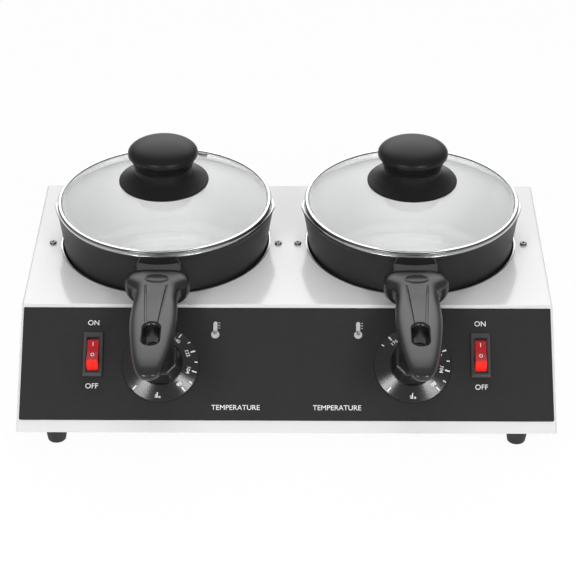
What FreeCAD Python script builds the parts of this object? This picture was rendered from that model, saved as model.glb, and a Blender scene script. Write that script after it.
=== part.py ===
import FreeCAD, Part
import math
import os

# A twin chocolate melting pot: two lidded pans stand in heated wells, each with a dial and a switch.
# Millimetres. X runs right, Y to the back, Z up from the resting plane.
# While it is built, Y = 0 is the fold between the top plate and the sloped front. save() then moves
# each piece back or forth, so that the origin lies under the middle of the whole object.

vec = FreeCAD.Vector
SIDES = (("left", -1), ("right", 1))

# Casing, a folded steel shell
BODY_WIDTH = 396.0
TOP_DEPTH = 182.5
SLOPE_RUN = 75.0
BODY_HEIGHT = 63.5
SHEET = 1.2
FOLD_RADIUS = 2.0
LIP_WIDTH = 12.0
FOOT_HEIGHT = 14.0
FOOT_EDGE = 1.2

# Fits
FIT_GAP = 0.1
TINY = 0.01
ROUND_SHARE = 0.3
RUNNING_GAP = 0.05
SAFE_GAP = 0.3
THREAD_RUNOUT = 1.0
TAB_ROOT = 1.0

# Printed panel on the slope
PANEL_THICKNESS = 0.8
PANEL_CORNER = 1.0
PANEL_TOP_MARGIN = 2.8
PANEL_HEIGHT = 86.3

# Feet
FOOT_TOP_RADIUS = 8.8
FOOT_BOTTOM_RADIUS = 6.6
FOOT_SIDE_INSET = 28.4
FOOT_INSET = 12.0
FOOT_RECESS_DEPTH = 5.0
FOOT_SCREW_RADIUS = 2.0
FOOT_SCREW_HEAD_RADIUS = 3.8
FOOT_SCREW_HEAD_HEIGHT = 2.6
THIN_NUT_WIDTH = 7.0
THIN_NUT_HEIGHT = 2.2

# Bottom plate
BASE_EDGE_GAP = 0.4
BASE_SCREW_RADIUS = 1.5
BASE_SCREW_HEAD_RADIUS = 3.0
BASE_SCREW_HEAD_HEIGHT = 1.8
BASE_SCREW_PITCH = 90.0
VENT_LENGTH = 46.0
VENT_WIDTH = 4.0
VENT_PITCH = 11.0
VENT_COUNT = 6

# Pans
PAN_X = 95.6
PAN_Y = 95.5
PAN_BASE_RADIUS = 76.0
PAN_TOP_RADIUS = 81.4
PAN_RIM_OVERHANG = 0.6
PAN_RIM_HEIGHT = 2.6
PAN_RIM_EDGE = 0.5
PAN_HEIGHT = 78.9
PAN_WALL = 2.0
PAN_FLOOR = 2.5
PAN_CORNER_RADIUS = 6.0
SPOUT_OVERHANG = 3.4
SPOUT_RADIUS = 7.5
SPOUT_HEIGHT = 17.0
SPOUT_WALL = 1.2
SPOUT_TIP_RADIUS = 0.6
SPOUT_DIP = 3.4

# Heated wells
WELL_GAP = 1.7
WELL_WALL = 1.0
WELL_CORNER = 6.0
WELL_HOLE_GAP = 0.3
WELL_FLOOR_Z = 32.0
EAR_RADIUS = 93.5
EAR_WIDTH = 14.0
WELL_SCREW_CIRCLE = 88.0
WELL_SCREW_OFFSET = 7.0
WELL_SCREW_RADIUS = 1.5
WELL_SCREW_HEAD_RADIUS = 2.7
WELL_SCREW_HEAD_HEIGHT = 1.8
NUT_WIDTH = 5.5
NUT_HEIGHT = 2.4

# Heaters, clamped under the wells on a stud
HEATER_RADIUS = 60.0
HEATER_THICKNESS = 4.0
INSULATION_RADIUS = 58.0
INSULATION_THICKNESS = 3.0
CLAMP_RADIUS = 50.0
CLAMP_THICKNESS = 1.5
STUD_RADIUS = 2.0
STUD_NUT_HEIGHT = 3.2
STUD_TIP = 1.3
HEATER_TAB_X = 12.0
TAB_WIDTH = 6.3
TAB_THICKNESS = 0.8
TAB_LENGTH = 9.0

# Thermostats and their capillaries
DIAL_X = 93.0
DIAL_DOWN = 47.2
THERMOSTAT_SIZE = 30.0
THERMOSTAT_DEPTH = 22.0
THERMOSTAT_SCREW_X = 11.0
THERMOSTAT_SCREW_DEPTH = 6.0
THERMOSTAT_SCREW_HEAD_RADIUS = 2.6
THERMOSTAT_SCREW_HEAD_HEIGHT = 1.5
THERMOSTAT_CORNER = 2.0
THERMOSTAT_TAB_LENGTH = 4.5
BULB_RADIUS = 2.5
BULB_LENGTH = 28.0
BULB_SLEEVE_WALL = 1.4
BULB_SLEEVE_LENGTH = 20.0
BULB_LOW_Z = 38.0
CAPILLARY_RADIUS = 1.0
CAPILLARY_PORT_UP = 9.0
CAPILLARY_TAIL = 9.0
CAPILLARY_BEND = 6.0
CAPILLARY_DIP = 2.8

# Dials
SHAFT_RADIUS = 3.0
SHAFT_HOLE_GAP = 1.0
SHAFT_DEPTH = 8.0
SHAFT_FLAT = 2.3
DIAL_LIFT = 0.8
DIAL_RADIUS = 28.5
DIAL_EDGE = 1.0
DIAL_TOP_RADIUS = 17.0
DIAL_HEIGHT = 4.9
DIAL_SHELL = 1.2
KNOB_FLATS = 31.0
KNOB_TAPER = 2.4
KNOB_HEIGHT = 15.5
KNOB_BORE_DEPTH = 9.0
KNOB_CORNER_CUT = 8.2
KNOB_EDGE_RADIUS = 1.0

# Rocker switches
SWITCH_SIDE_INSET = 54.7
SWITCH_DOWN = 39.5
BEZEL_WIDTH = 14.8
BEZEL_LENGTH = 34.0
BEZEL_HEIGHT = 2.0
BEZEL_CORNER = 0.8
BEZEL_EDGE = 0.5
SWITCH_BODY_WIDTH = 13.0
SWITCH_BODY_LENGTH = 30.6
SWITCH_BODY_DEPTH = 15.0
ROCKER_SLOT_WIDTH = 9.0
ROCKER_RADIUS = 13.0
ROCKER_SIDE_GAP = 0.3
ROCKER_PIVOT_DEPTH = 7.0
ROCKER_LIP_ANGLE = 49.0
ROCKER_TILT = 15.0
ROCKER_PIN_RADIUS = 1.2
ROCKER_PIN_LENGTH = 1.4
ROCKER_BELLY = 1.0
SWITCH_TAB_PITCH = 10.0

# Lids
LID_OVERHANG = 1.0
LID_BAND_HEIGHT = 3.6
LID_BAND_CHAMFER = 1.0
LID_WALL = 0.8
LID_SKIRT_DEPTH = 3.0
LID_LIP_THICKNESS = 0.6
LID_LIP_WIDTH = 2.0
GLASS_SPHERE_RADIUS = 176.0
GLASS_THICKNESS = 3.0
LID_SCREW_RADIUS = 2.5
LID_SCREW_HEAD_RADIUS = 7.0
LID_SCREW_HEAD_HEIGHT = 3.0
LID_SCREW_LENGTH = 24.0
KNOB_SKIRT_RADIUS = 34.5
KNOB_SKIRT_EDGE = 1.2
KNOB_NECK_RADIUS = 22.3
KNOB_NECK_RISE = 5.9
KNOB_RING_HEIGHT = 5.1
LID_KNOB_BASE_RADIUS = 22.8
LID_KNOB_RADIUS = 26.9
LID_KNOB_FLANK = 9.8
LID_KNOB_CROWN = 9.5
LID_KNOB_EDGE = 0.8
LID_KNOB_GROOVE = 0.9
KNOB_CURVE_COUNT = 6
GROMMET_CIRCLE = 66.0
GROMMET_AZIMUTH = 66.0
GROMMET_HOLE_RADIUS = 1.5
GROMMET_BARREL_RADIUS = 2.5
GROMMET_FLANGE_RADIUS = 4.0
GROMMET_FLANGE_HEIGHT = 0.6

# Pan handles
HANDLE_AXIS_BELOW_RIM = 14.9
BRACKET_PLATE = 1.5
BRACKET_PLATE_WIDTH = 33.0
BRACKET_TOP_WIDTH = 27.0
BRACKET_SHOULDER = 7.6
BRACKET_DROP = 10.0
TONGUE_WIDTH = 18.0
TONGUE_HEIGHT = 9.0
TONGUE_GRIP = 14.0
NECK_LENGTH = 8.6
FERRULE_COUNT = 2
FERRULE_WIDTH = 30.4
FERRULE_STEP_GROWTH = 3.2
FERRULE_HEIGHT = 15.6
FERRULE_STEP_RISE = 1.4
FERRULE_ROUND = 4.0
HANDLE_LENGTH = 126.5
HANDLE_SECTION_COUNT = 16
HANG_HOLE_WIDTH = 11.5
HANG_HOLE_LENGTH = 26.5
HANG_HOLE_START = 70.5
HANDLE_SCREW_RADIUS = 2.5
HANDLE_SCREW_HEAD_RADIUS = 4.2
HANDLE_SCREW_HEAD_HEIGHT = 4.0
HANDLE_SCREW_SEAT = 9.0
HANDLE_SCREW_REACH = 4.0
# Each station: share of the length, half width, middle's height, rise above it, drop below it
HANDLE_STATIONS = (
    (0.000, 19.6, 0.0, 7.6, 10.0),
    (0.012, 22.0, 0.0, 8.8, 13.6),
    (0.040, 23.6, 0.0, 9.2, 16.0),
    (0.071, 24.0, 0.0, 9.3, 16.6),
    (0.099, 23.8, 0.0, 9.2, 16.4),
    (0.126, 21.8, 0.0, 9.0, 15.0),
    (0.158, 18.0, 0.0, 8.8, 12.4),
    (0.198, 16.0, 0.0, 8.6, 10.4),
    (0.277, 15.9, 0.0, 8.3, 9.4),
    (0.356, 16.7, 0.0, 8.2, 9.0),
    (0.490, 17.2, -0.2, 8.0, 8.8),
    (0.632, 16.1, -0.7, 7.6, 8.4),
    (0.771, 14.0, -1.4, 6.8, 7.6),
    (0.870, 11.8, -2.1, 5.9, 6.6),
    (0.933, 9.6, -2.7, 4.8, 5.4),
    (0.976, 6.8, -3.2, 3.4, 3.8),
    (1.000, 2.6, -3.5, 1.3, 1.5),
)
TOP_SQUARENESS = 0.62
LOWER_SQUARENESS = 0.85

# Power inlet, terminal block and leads
INLET_Z = 46.0
INLET_FLANGE_WIDTH = 50.0
INLET_FLANGE_HEIGHT = 27.0
INLET_FLANGE_THICKNESS = 2.5
INLET_CORNER = 4.0
INLET_BODY_WIDTH = 28.0
INLET_BODY_HEIGHT = 20.0
INLET_BODY_DEPTH = 22.0
INLET_MOUTH_WIDTH = 24.4
INLET_MOUTH_HEIGHT = 16.4
INLET_MOUTH_DEPTH = 16.0
INLET_CORNER = 5.0
INLET_SCREW_X = 20.0
INLET_SCREW_RADIUS = 1.5
INLET_SCREW_HEAD_RADIUS = 2.8
INLET_SCREW_HEAD_HEIGHT = 1.6
INLET_SCREW_LENGTH = 8.0
PIN_PITCH = 7.0
PIN_DROP = 4.0
PIN_WIDTH = 2.0
PIN_HEIGHT = 4.0
PIN_FRONT = 12.0
PIN_TAIL = 7.0
BLOCK_LENGTH = 46.0
BLOCK_WIDTH = 18.0
BLOCK_HEIGHT = 15.0
BLOCK_CORNER = 1.0
BLOCK_Y = 16.0
BLOCK_WAYS = 4
BLOCK_PITCH = 11.0
BLOCK_SCREW_RADIUS = 2.4
BLOCK_SCREW_DEPTH = 4.0
LEAD_RADIUS = 1.3
LEAD_BLOCK_RISE = 6.0
LEAD_FLOOR_GAP = 0.5
LEAD_LAYER = 1.6
LEAD_TAIL = 8.0
LEAD_SHORT_TAIL = 4.5
LEAD_MIDDLE_TAIL = 6.0
INLET_LEAD_TAIL = 32.0
INLET_LEAD_BEND = (9.5, 80.0, 30.0)
INLET_LEAD_DOWN_Y = 52.0
EARTH_LEAD_TAIL = 14.0
EARTH_LEAD_BEND = 26.0
EARTH_LEAD_DIP = 13.0
SWITCH_FEED_Y = -8.0
SWITCH_FEED_FAN_X = 36.0
SWITCH_FEED_FRONT_Y = -3.0
SWITCH_FEED_INSET = 16.3
SWITCH_FEED_RISE = 1.5
THERMOSTAT_FEED_HIGH = (10.3, 0.0, 29.0)
THERMOSTAT_FEED_LOW = (20.0, -3.0, 25.5)
HEATER_FEED_BEND = (8.4, -5.0, 24.0)
HEATER_FEED_LOW = (8.0, 25.0)
HEATER_LEAD_Y = 17.0
HEATER_RETURN_BEND = (10.9, 8.0, 2.5)
HEATER_RETURN_MIDDLE = (0.6, 3.0)
HEATER_RETURN_INNER = (35.6, 2.0)
HEATER_RETURN_FAN = (14.0, 1.0)
HEATER_RETURN_END_Y = 5.0

# Derived places
FOLD_Z = FOOT_HEIGHT + BODY_HEIGHT
SLOPE_LENGTH = math.hypot(SLOPE_RUN, BODY_HEIGHT)
SLOPE_ANGLE = math.degrees(math.atan2(BODY_HEIGHT, SLOPE_RUN))
HALF_WIDTH = BODY_WIDTH / 2
FOOT_X = HALF_WIDTH - FOOT_SIDE_INSET
SWITCH_X = HALF_WIDTH - SWITCH_SIDE_INSET
INNER_HALF_WIDTH = HALF_WIDTH - SHEET
BASE_TOP_Z = FOOT_HEIGHT + SHEET
LIP_TOP_Z = BASE_TOP_Z + SHEET
TOP_UNDERSIDE_Z = FOLD_Z - SHEET
PAN_RIM_Z = WELL_FLOOR_Z + PAN_HEIGHT
WELL_INNER_RADIUS = (
    PAN_BASE_RADIUS + (PAN_TOP_RADIUS - PAN_BASE_RADIUS) * (FOLD_Z - WELL_FLOOR_Z) / PAN_HEIGHT + WELL_GAP
)
WELL_OUTER_RADIUS = WELL_INNER_RADIUS + WELL_WALL
PAN_RIM_RADIUS = PAN_TOP_RADIUS + PAN_RIM_OVERHANG
SPOUT_REACH = PAN_RIM_RADIUS + SPOUT_OVERHANG
WELL_UNDERSIDE_Z = WELL_FLOOR_Z - WELL_WALL
HEATER_LOW_Z = WELL_UNDERSIDE_Z - HEATER_THICKNESS
INSULATION_LOW_Z = HEATER_LOW_Z - INSULATION_THICKNESS
CLAMP_LOW_Z = INSULATION_LOW_Z - CLAMP_THICKNESS
BULB_Y = PAN_Y - WELL_OUTER_RADIUS - BULB_RADIUS - BULB_SLEEVE_WALL
HANDLE_Z = PAN_RIM_Z - HANDLE_AXIS_BELOW_RIM
LID_Z = PAN_RIM_Z + SAFE_GAP
PANEL_FACE = PANEL_THICKNESS
DIAL_BASE = PANEL_FACE + DIAL_LIFT
DIAL_TOP = DIAL_BASE + DIAL_HEIGHT
BEZEL_FACE = PANEL_FACE + BEZEL_HEIGHT
ROCKER_PIVOT = BEZEL_FACE - ROCKER_PIVOT_DEPTH
INLET_FACE_Y = TOP_DEPTH + INLET_FLANGE_THICKNESS
LEAD_BLOCK_Z = BASE_TOP_Z + LEAD_BLOCK_RISE
LEAD_LOW_Z = BASE_TOP_Z + LEAD_RADIUS + LEAD_FLOOR_GAP
LEAD_HIGH_Z = LEAD_LOW_Z + LEAD_LAYER
BLOCK_FRONT_END = BLOCK_Y - BLOCK_WIDTH / 4
BLOCK_REAR_END = BLOCK_Y + BLOCK_WIDTH / 4
SWITCH_TAB_OUT = -SWITCH_BODY_DEPTH - TAB_LENGTH
THERMOSTAT_TAB_OUT = -SHEET - THERMOSTAT_DEPTH - THERMOSTAT_TAB_LENGTH
THERMOSTAT_TAB_X = THERMOSTAT_SIZE / 4
HEATER_TAB_Z = HEATER_LOW_Z + HEATER_THICKNESS / 2
LID_TOP_Z = LID_Z + LID_BAND_HEIGHT
LID_BAND_RADIUS = PAN_RIM_RADIUS + LID_OVERHANG
LID_SEAT_RADIUS = PAN_TOP_RADIUS - PAN_WALL - 2 * SAFE_GAP
GLASS_RADIUS = LID_BAND_RADIUS - LID_WALL - FIT_GAP
GLASS_LIP_RADIUS = GLASS_RADIUS - LID_LIP_WIDTH
GLASS_SEAT_Z = LID_Z + LID_LIP_THICKNESS + FIT_GAP
GLASS_INNER_SPHERE = GLASS_SPHERE_RADIUS - GLASS_THICKNESS
GLASS_CENTRE_Z = (
    LID_TOP_Z - LID_LIP_THICKNESS - FIT_GAP - math.sqrt(GLASS_SPHERE_RADIUS ** 2 - GLASS_LIP_RADIUS ** 2)
)
GLASS_TOP_Z = GLASS_CENTRE_Z + GLASS_SPHERE_RADIUS
KNOB_NECK_Z = GLASS_TOP_Z + KNOB_NECK_RISE
KNOB_RING_Z = KNOB_NECK_Z + KNOB_RING_HEIGHT


def slope_y(z, inset):
    """Y of the sloped front at height z, moved inward by inset."""
    return (inset * SLOPE_LENGTH + (z - FOLD_Z) * SLOPE_RUN) / BODY_HEIGHT


def pan_radius(z):
    """Outer radius of the pan's wall at height z."""
    share = (z - WELL_FLOOR_Z) / PAN_HEIGHT
    return PAN_BASE_RADIUS + (PAN_TOP_RADIUS - PAN_BASE_RADIUS) * share


PAN_WALL_Y = PAN_Y - pan_radius(HANDLE_Z)
HANDLE_START_Y = PAN_WALL_Y - NECK_LENGTH
HANDLE_TIP_Y = HANDLE_START_Y - HANDLE_LENGTH
TONGUE_END_Y = HANDLE_START_Y - TONGUE_GRIP
HANG_HOLE_Y = HANDLE_START_Y - HANG_HOLE_START
ORIGIN_Y = (INLET_FACE_Y + INLET_SCREW_HEAD_HEIGHT + HANDLE_TIP_Y) / 2


def block(x0, x1, y0, y1, z0, z1):
    """A box between two corners."""
    return Part.makeBox(x1 - x0, y1 - y0, z1 - z0, vec(x0, y0, z0))


def rod(radius, length, x, y, z, axis=vec(0, 0, 1)):
    """A cylinder that starts at a point and runs along an axis."""
    return Part.makeCylinder(radius, length, vec(x, y, z), axis)


def turned(points, x=0.0, y=0.0):
    """A solid turned about a vertical axis through x, y, from a closed outline of (radius, z) points."""
    outline = [vec(radius, 0, z) for radius, z in points]
    face = Part.Face(Part.makePolygon(outline + outline[:1]))
    solid = face.revolve(vec(0, 0, 0), vec(0, 0, 1), 360)
    solid.translate(vec(x, y, 0))
    return solid


def hex_nut(width, height, bore, x, y, z):
    """A hexagonal nut with its lower face at z."""
    corner = width / 2 / math.cos(math.pi / 6)
    outline = [
        vec(corner * math.cos(k * math.pi / 3), corner * math.sin(k * math.pi / 3), 0) for k in range(7)
    ]
    nut = Part.Face(Part.makePolygon(outline)).extrude(vec(0, 0, height))
    nut = nut.cut(rod(bore, height, 0, 0, 0))
    nut.translate(vec(x, y, z))
    return nut


def pan_head_screw(shank_radius, shank_length, head_radius, head_height):
    """A cross-slot pan-head screw along Z, with the head's underside at z = 0 and the shank below it."""
    head = rod(head_radius, head_height, 0, 0, 0)
    top_edge = [edge for edge in head.Edges if edge.BoundBox.ZMin > head_height / 2]
    head = head.makeFillet(head_height * 0.45, top_edge)
    slot_depth = head_height * 0.5
    slot_half = head_radius * 0.14
    reach = head_radius * 0.55
    for x, y in ((reach, slot_half), (slot_half, reach)):
        head = head.cut(block(-x, x, -y, y, head_height - slot_depth, head_height))
    return head.fuse(rod(shank_radius, shank_length, 0, 0, -shank_length)).removeSplitter()


def rounded_box(width, length, height, corner, z0=0.0):
    """A box centred on the Z axis, with its four upright edges rounded."""
    body = block(-width / 2, width / 2, -length / 2, length / 2, z0, z0 + height)
    upright = [edge for edge in body.Edges if edge.BoundBox.ZLength > height / 2]
    return body.makeFillet(corner, upright)


def on_panel(shape, x, down):
    """Place a shape on the slope: its Z becomes the slope's normal, its Y points up the slope."""
    placed = shape.copy()
    placed.rotate(vec(0, 0, 0), vec(1, 0, 0), SLOPE_ANGLE)
    angle = math.radians(SLOPE_ANGLE)
    placed.translate(vec(x, -down * math.cos(angle), FOLD_Z - down * math.sin(angle)))
    return placed


def panel_point(x, down, up=0.0, out=0.0):
    """The point of the slope at x and down, shifted up the slope and out along its normal."""
    angle = math.radians(SLOPE_ANGLE)
    y = -(down - up) * math.cos(angle) - out * math.sin(angle)
    z = FOLD_Z - (down - up) * math.sin(angle) + out * math.cos(angle)
    return vec(x, y, z)


def tube(points, radius):
    """A round tube along straight runs joined by tangent arcs."""
    edges = []
    start = points[0]
    for before, corner, after in zip(points, points[1:], points[2:]):
        run_in = corner - before
        run_out = after - corner
        reach = 0.45 * min(run_in.Length, run_out.Length)
        way_in = vec(run_in).normalize()
        way_out = vec(run_out).normalize()
        half_turn = way_in.getAngle(way_out) / 2
        arc_radius = reach / math.tan(half_turn)
        inward = vec(way_out - way_in).normalize()
        arc_start = corner - way_in * reach
        arc_end = corner + way_out * reach
        arc_middle = corner + inward * (arc_radius / math.cos(half_turn) - arc_radius)
        edges.append(Part.LineSegment(start, arc_start).toShape())
        edges.append(Part.Arc(arc_start, arc_middle, arc_end).toShape())
        start = arc_end
    edges.append(Part.LineSegment(start, points[-1]).toShape())
    path = Part.Wire(edges)
    ring = Part.Wire(Part.makeCircle(radius, points[0], points[1] - points[0]))
    return path.makePipeShell([ring], True, False)


def save(name, *solids):
    """Write one node, moved to the object's own origin."""
    shape = solids[0] if len(solids) == 1 else Part.makeCompound(list(solids))
    shape = shape.copy()
    shape.translate(vec(0, -ORIGIN_Y, 0))
    print(name, len(shape.Solids), round(shape.Volume), shape.isValid())
    shape.exportStep("parts/" + name + ".step")


def casing_block(inset, z_low, radius):
    """The casing's full form moved inward by inset, from z_low up, with rounded upper edges."""
    top = FOLD_Z - inset
    rear = TOP_DEPTH - inset
    half = HALF_WIDTH - inset
    outline = [
        vec(-half, slope_y(z_low, inset), z_low),
        vec(-half, slope_y(top, inset), top),
        vec(-half, rear, top),
        vec(-half, rear, z_low),
    ]
    body = Part.Face(Part.makePolygon(outline + outline[:1])).extrude(vec(2 * half, 0, 0))
    edges = [edge for edge in body.Edges if edge.BoundBox.ZMax > z_low + radius]
    return body.makeFillet(radius, edges)


def well_screw_points():
    """The places of the four screws that hold the wells' ears under the top plate."""
    points = []
    for pan_x in (-PAN_X, PAN_X):
        for side in (-1, 1):
            points.append((pan_x + side * WELL_SCREW_CIRCLE, PAN_Y - WELL_SCREW_OFFSET))
    return points


def foot_points():
    """The places of the four feet."""
    front = slope_y(FOOT_HEIGHT, 0) + FOOT_INSET
    return [(side * FOOT_X, y) for side in (-1, 1) for y in (front, TOP_DEPTH - FOOT_INSET)]


def base_screw_points():
    """The places of the screws that hold the bottom plate to the casing's side lips."""
    x = INNER_HALF_WIDTH - LIP_WIDTH / 2
    middle = TOP_DEPTH / 2 - FOOT_INSET / 2
    return [(side * x, middle + end * BASE_SCREW_PITCH / 2) for side in (-1, 1) for end in (-1, 1)]


def thermostat_screw_points():
    """The two screws beside each dial shaft, hidden below the dial."""
    return [(side * dial + end * THERMOSTAT_SCREW_X, DIAL_DOWN)
            for side, dial in ((-1, DIAL_X), (1, DIAL_X)) for end in (-1, 1)]


def panel_cutters():
    """Solids that pierce the slope and its printed panel for shafts, screws and switches."""
    depth = 3 * (SHEET + PANEL_THICKNESS)
    shaft_hole = rod(SHAFT_RADIUS + SHAFT_HOLE_GAP, 2 * depth, 0, 0, -depth)
    screw_hole = rod(WELL_SCREW_RADIUS, 2 * depth, 0, 0, -depth)
    switch_hole = block(
        -SWITCH_BODY_WIDTH / 2 - FIT_GAP, SWITCH_BODY_WIDTH / 2 + FIT_GAP,
        -SWITCH_BODY_LENGTH / 2 - FIT_GAP, SWITCH_BODY_LENGTH / 2 + FIT_GAP, -depth, depth)
    cutters = [on_panel(screw_hole, x, down) for x, down in thermostat_screw_points()]
    for _, side in SIDES:
        cutters.append(on_panel(shaft_hole, side * DIAL_X, DIAL_DOWN))
        cutters.append(on_panel(switch_hole, side * SWITCH_X, SWITCH_DOWN))
    return cutters


def make_casing():
    """The folded shell: top plate, sloped front, sides and rear, with a lip turned in all round below."""
    outer = casing_block(0, FOOT_HEIGHT, FOLD_RADIUS)
    inner = casing_block(SHEET, FOOT_HEIGHT - SHEET, FOLD_RADIUS - SHEET)
    slab = block(-HALF_WIDTH, HALF_WIDTH, -SLOPE_RUN, TOP_DEPTH, BASE_TOP_Z, LIP_TOP_Z)
    half = INNER_HALF_WIDTH - LIP_WIDTH
    window = block(-half, half, slope_y(BASE_TOP_Z, SHEET) + LIP_WIDTH, TOP_DEPTH - SHEET - LIP_WIDTH,
                   BASE_TOP_Z, LIP_TOP_Z)
    cutters = panel_cutters()
    for _, side in SIDES:
        hole = WELL_OUTER_RADIUS + WELL_HOLE_GAP
        cutters.append(rod(hole, 3 * SHEET, side * PAN_X, PAN_Y, FOLD_Z - 2 * SHEET))
    for x, y in well_screw_points():
        cutters.append(rod(WELL_SCREW_RADIUS, 3 * SHEET, x, y, FOLD_Z - 2 * SHEET))
    for x, y in foot_points():
        cutters.append(rod(FOOT_SCREW_RADIUS, 3 * SHEET, x, y, FOOT_HEIGHT))
    for x, y in base_screw_points():
        cutters.append(rod(BASE_SCREW_RADIUS, 3 * SHEET, x, y, FOOT_HEIGHT))
    cutters.append(inlet_block(INLET_BODY_WIDTH + 2 * FIT_GAP, INLET_BODY_HEIGHT + 2 * FIT_GAP,
                               TOP_DEPTH - 2 * SHEET, TOP_DEPTH + SHEET))
    for side in (-1, 1):
        cutters.append(rod(INLET_SCREW_RADIUS, 4 * SHEET, side * INLET_SCREW_X, TOP_DEPTH + SHEET,
                           INLET_Z, vec(0, -1, 0)))
    shell = outer.cut(inner).fuse(outer.common(slab).cut(window))
    return shell.cut(cutters).removeSplitter()


def make_base_plate():
    """The flat bottom plate, with two groups of vent slots below the heaters."""
    half = INNER_HALF_WIDTH - BASE_EDGE_GAP
    front = slope_y(BASE_TOP_Z, SHEET) + BASE_EDGE_GAP
    plate = block(-half, half, front, TOP_DEPTH - SHEET - BASE_EDGE_GAP, FOOT_HEIGHT, BASE_TOP_Z)
    upright = [edge for edge in plate.Edges if edge.BoundBox.ZLength > SHEET / 2]
    plate = plate.makeFillet(FOLD_RADIUS, upright)
    cutters = []
    for pan_x in (-PAN_X, PAN_X):
        for row in range(VENT_COUNT):
            y = PAN_Y + (row - (VENT_COUNT - 1) / 2) * VENT_PITCH
            slot = rounded_box(VENT_LENGTH, VENT_WIDTH, 3 * SHEET, VENT_WIDTH * 0.45, FOOT_HEIGHT - SHEET)
            slot.translate(vec(pan_x, y, 0))
            cutters.append(slot)
    for x, y in foot_points():
        cutters.append(rod(FOOT_SCREW_RADIUS, 3 * SHEET, x, y, FOOT_HEIGHT - SHEET))
    for x, y in base_screw_points():
        cutters.append(rod(BASE_SCREW_RADIUS, 3 * SHEET, x, y, FOOT_HEIGHT - SHEET))
    return plate.cut(cutters)


def make_control_panel():
    """The thin printed panel glued to the slope."""
    width = 2 * (HALF_WIDTH - FOLD_RADIUS)
    panel = rounded_box(width, PANEL_HEIGHT, PANEL_THICKNESS, PANEL_CORNER)
    panel = on_panel(panel, 0, PANEL_TOP_MARGIN + PANEL_HEIGHT / 2)
    return panel.cut(panel_cutters())


def make_feet():
    """The four rubber feet, each with a recess for its screw's head."""
    feet = []
    for x, y in foot_points():
        foot = Part.makeCone(FOOT_BOTTOM_RADIUS, FOOT_TOP_RADIUS, FOOT_HEIGHT, vec(x, y, 0))
        rims = [edge for edge in foot.Edges if edge.BoundBox.ZLength < TINY]
        foot = foot.makeFillet(FOOT_EDGE, rims)
        foot = foot.cut(rod(FOOT_SCREW_HEAD_RADIUS + FIT_GAP, FOOT_RECESS_DEPTH, x, y, 0))
        feet.append(foot.cut(rod(FOOT_SCREW_RADIUS, FOOT_HEIGHT, x, y, 0)))
    return feet


def make_foot_screws():
    """One screw up through each foot, the bottom plate and the lip."""
    length = LIP_TOP_Z + THIN_NUT_HEIGHT - FOOT_RECESS_DEPTH
    screws = []
    for x, y in foot_points():
        screw = pan_head_screw(FOOT_SCREW_RADIUS, length, FOOT_SCREW_HEAD_RADIUS, FOOT_SCREW_HEAD_HEIGHT)
        screw.rotate(vec(0, 0, 0), vec(1, 0, 0), 180)
        screw.translate(vec(x, y, FOOT_RECESS_DEPTH))
        screws.append(screw)
    return screws


def make_foot_nuts():
    """The thin nuts on the foot screws."""
    return [hex_nut(THIN_NUT_WIDTH, THIN_NUT_HEIGHT, FOOT_SCREW_RADIUS, x, y, LIP_TOP_Z)
            for x, y in foot_points()]


def make_base_plate_screws():
    """The screws from below through the bottom plate into the lips."""
    screws = []
    for x, y in base_screw_points():
        screw = pan_head_screw(BASE_SCREW_RADIUS, 4 * SHEET, BASE_SCREW_HEAD_RADIUS, BASE_SCREW_HEAD_HEIGHT)
        screw.rotate(vec(0, 0, 0), vec(1, 0, 0), 180)
        screw.translate(vec(x, y, FOOT_HEIGHT))
        screws.append(screw)
    return screws


def make_well(pan_x):
    """A pressed well with two ears, a stud below its floor and a sleeve for the thermostat's bulb."""
    top = FOLD_Z
    corner = WELL_CORNER
    inner = WELL_INNER_RADIUS
    outer = WELL_OUTER_RADIUS
    cup = turned([
        (0, WELL_UNDERSIDE_Z),
        (outer - corner, WELL_UNDERSIDE_Z),
        (outer - corner * ROUND_SHARE, WELL_UNDERSIDE_Z + corner * ROUND_SHARE),
        (outer, WELL_UNDERSIDE_Z + corner),
        (outer, top),
        (inner, top),
        (inner, WELL_FLOOR_Z + corner),
        (inner - corner * ROUND_SHARE, WELL_FLOOR_Z + corner * ROUND_SHARE),
        (inner - corner, WELL_FLOOR_Z),
        (0, WELL_FLOOR_Z),
    ])
    ears = []
    for side in (-1, 1):
        y = -WELL_SCREW_OFFSET
        x_near = side * inner
        x_far = side * EAR_RADIUS
        ear = block(min(x_near, x_far), max(x_near, x_far), y - EAR_WIDTH / 2, y + EAR_WIDTH / 2,
                    TOP_UNDERSIDE_Z - WELL_WALL, TOP_UNDERSIDE_Z)
        ear = ear.cut(rod(WELL_SCREW_RADIUS, 3 * WELL_WALL, side * WELL_SCREW_CIRCLE, y,
                          TOP_UNDERSIDE_Z - 2 * WELL_WALL))
        ears.append(ear.cut(rod((inner + outer) / 2, 3 * WELL_WALL, 0, 0, TOP_UNDERSIDE_Z - 2 * WELL_WALL)))
    stud_low = CLAMP_LOW_Z - STUD_NUT_HEIGHT - STUD_TIP
    stud = rod(STUD_RADIUS, WELL_UNDERSIDE_Z - stud_low, 0, 0, stud_low)
    sleeve_radius = BULB_RADIUS + FIT_GAP + BULB_SLEEVE_WALL
    sleeve_z = BULB_LOW_Z + (BULB_LENGTH - BULB_SLEEVE_LENGTH) / 2
    sleeve = rod(sleeve_radius, BULB_SLEEVE_LENGTH, 0, BULB_Y - PAN_Y, sleeve_z)
    sleeve = sleeve.cut(rod((inner + outer) / 2, PAN_HEIGHT, 0, 0, WELL_UNDERSIDE_Z))
    bore = rod(BULB_RADIUS + FIT_GAP, BULB_SLEEVE_LENGTH, 0, BULB_Y - PAN_Y, sleeve_z)
    well = cup.fuse(ears + [stud, sleeve]).cut(bore).removeSplitter()
    well.translate(vec(pan_x, PAN_Y, 0))
    return well


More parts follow.
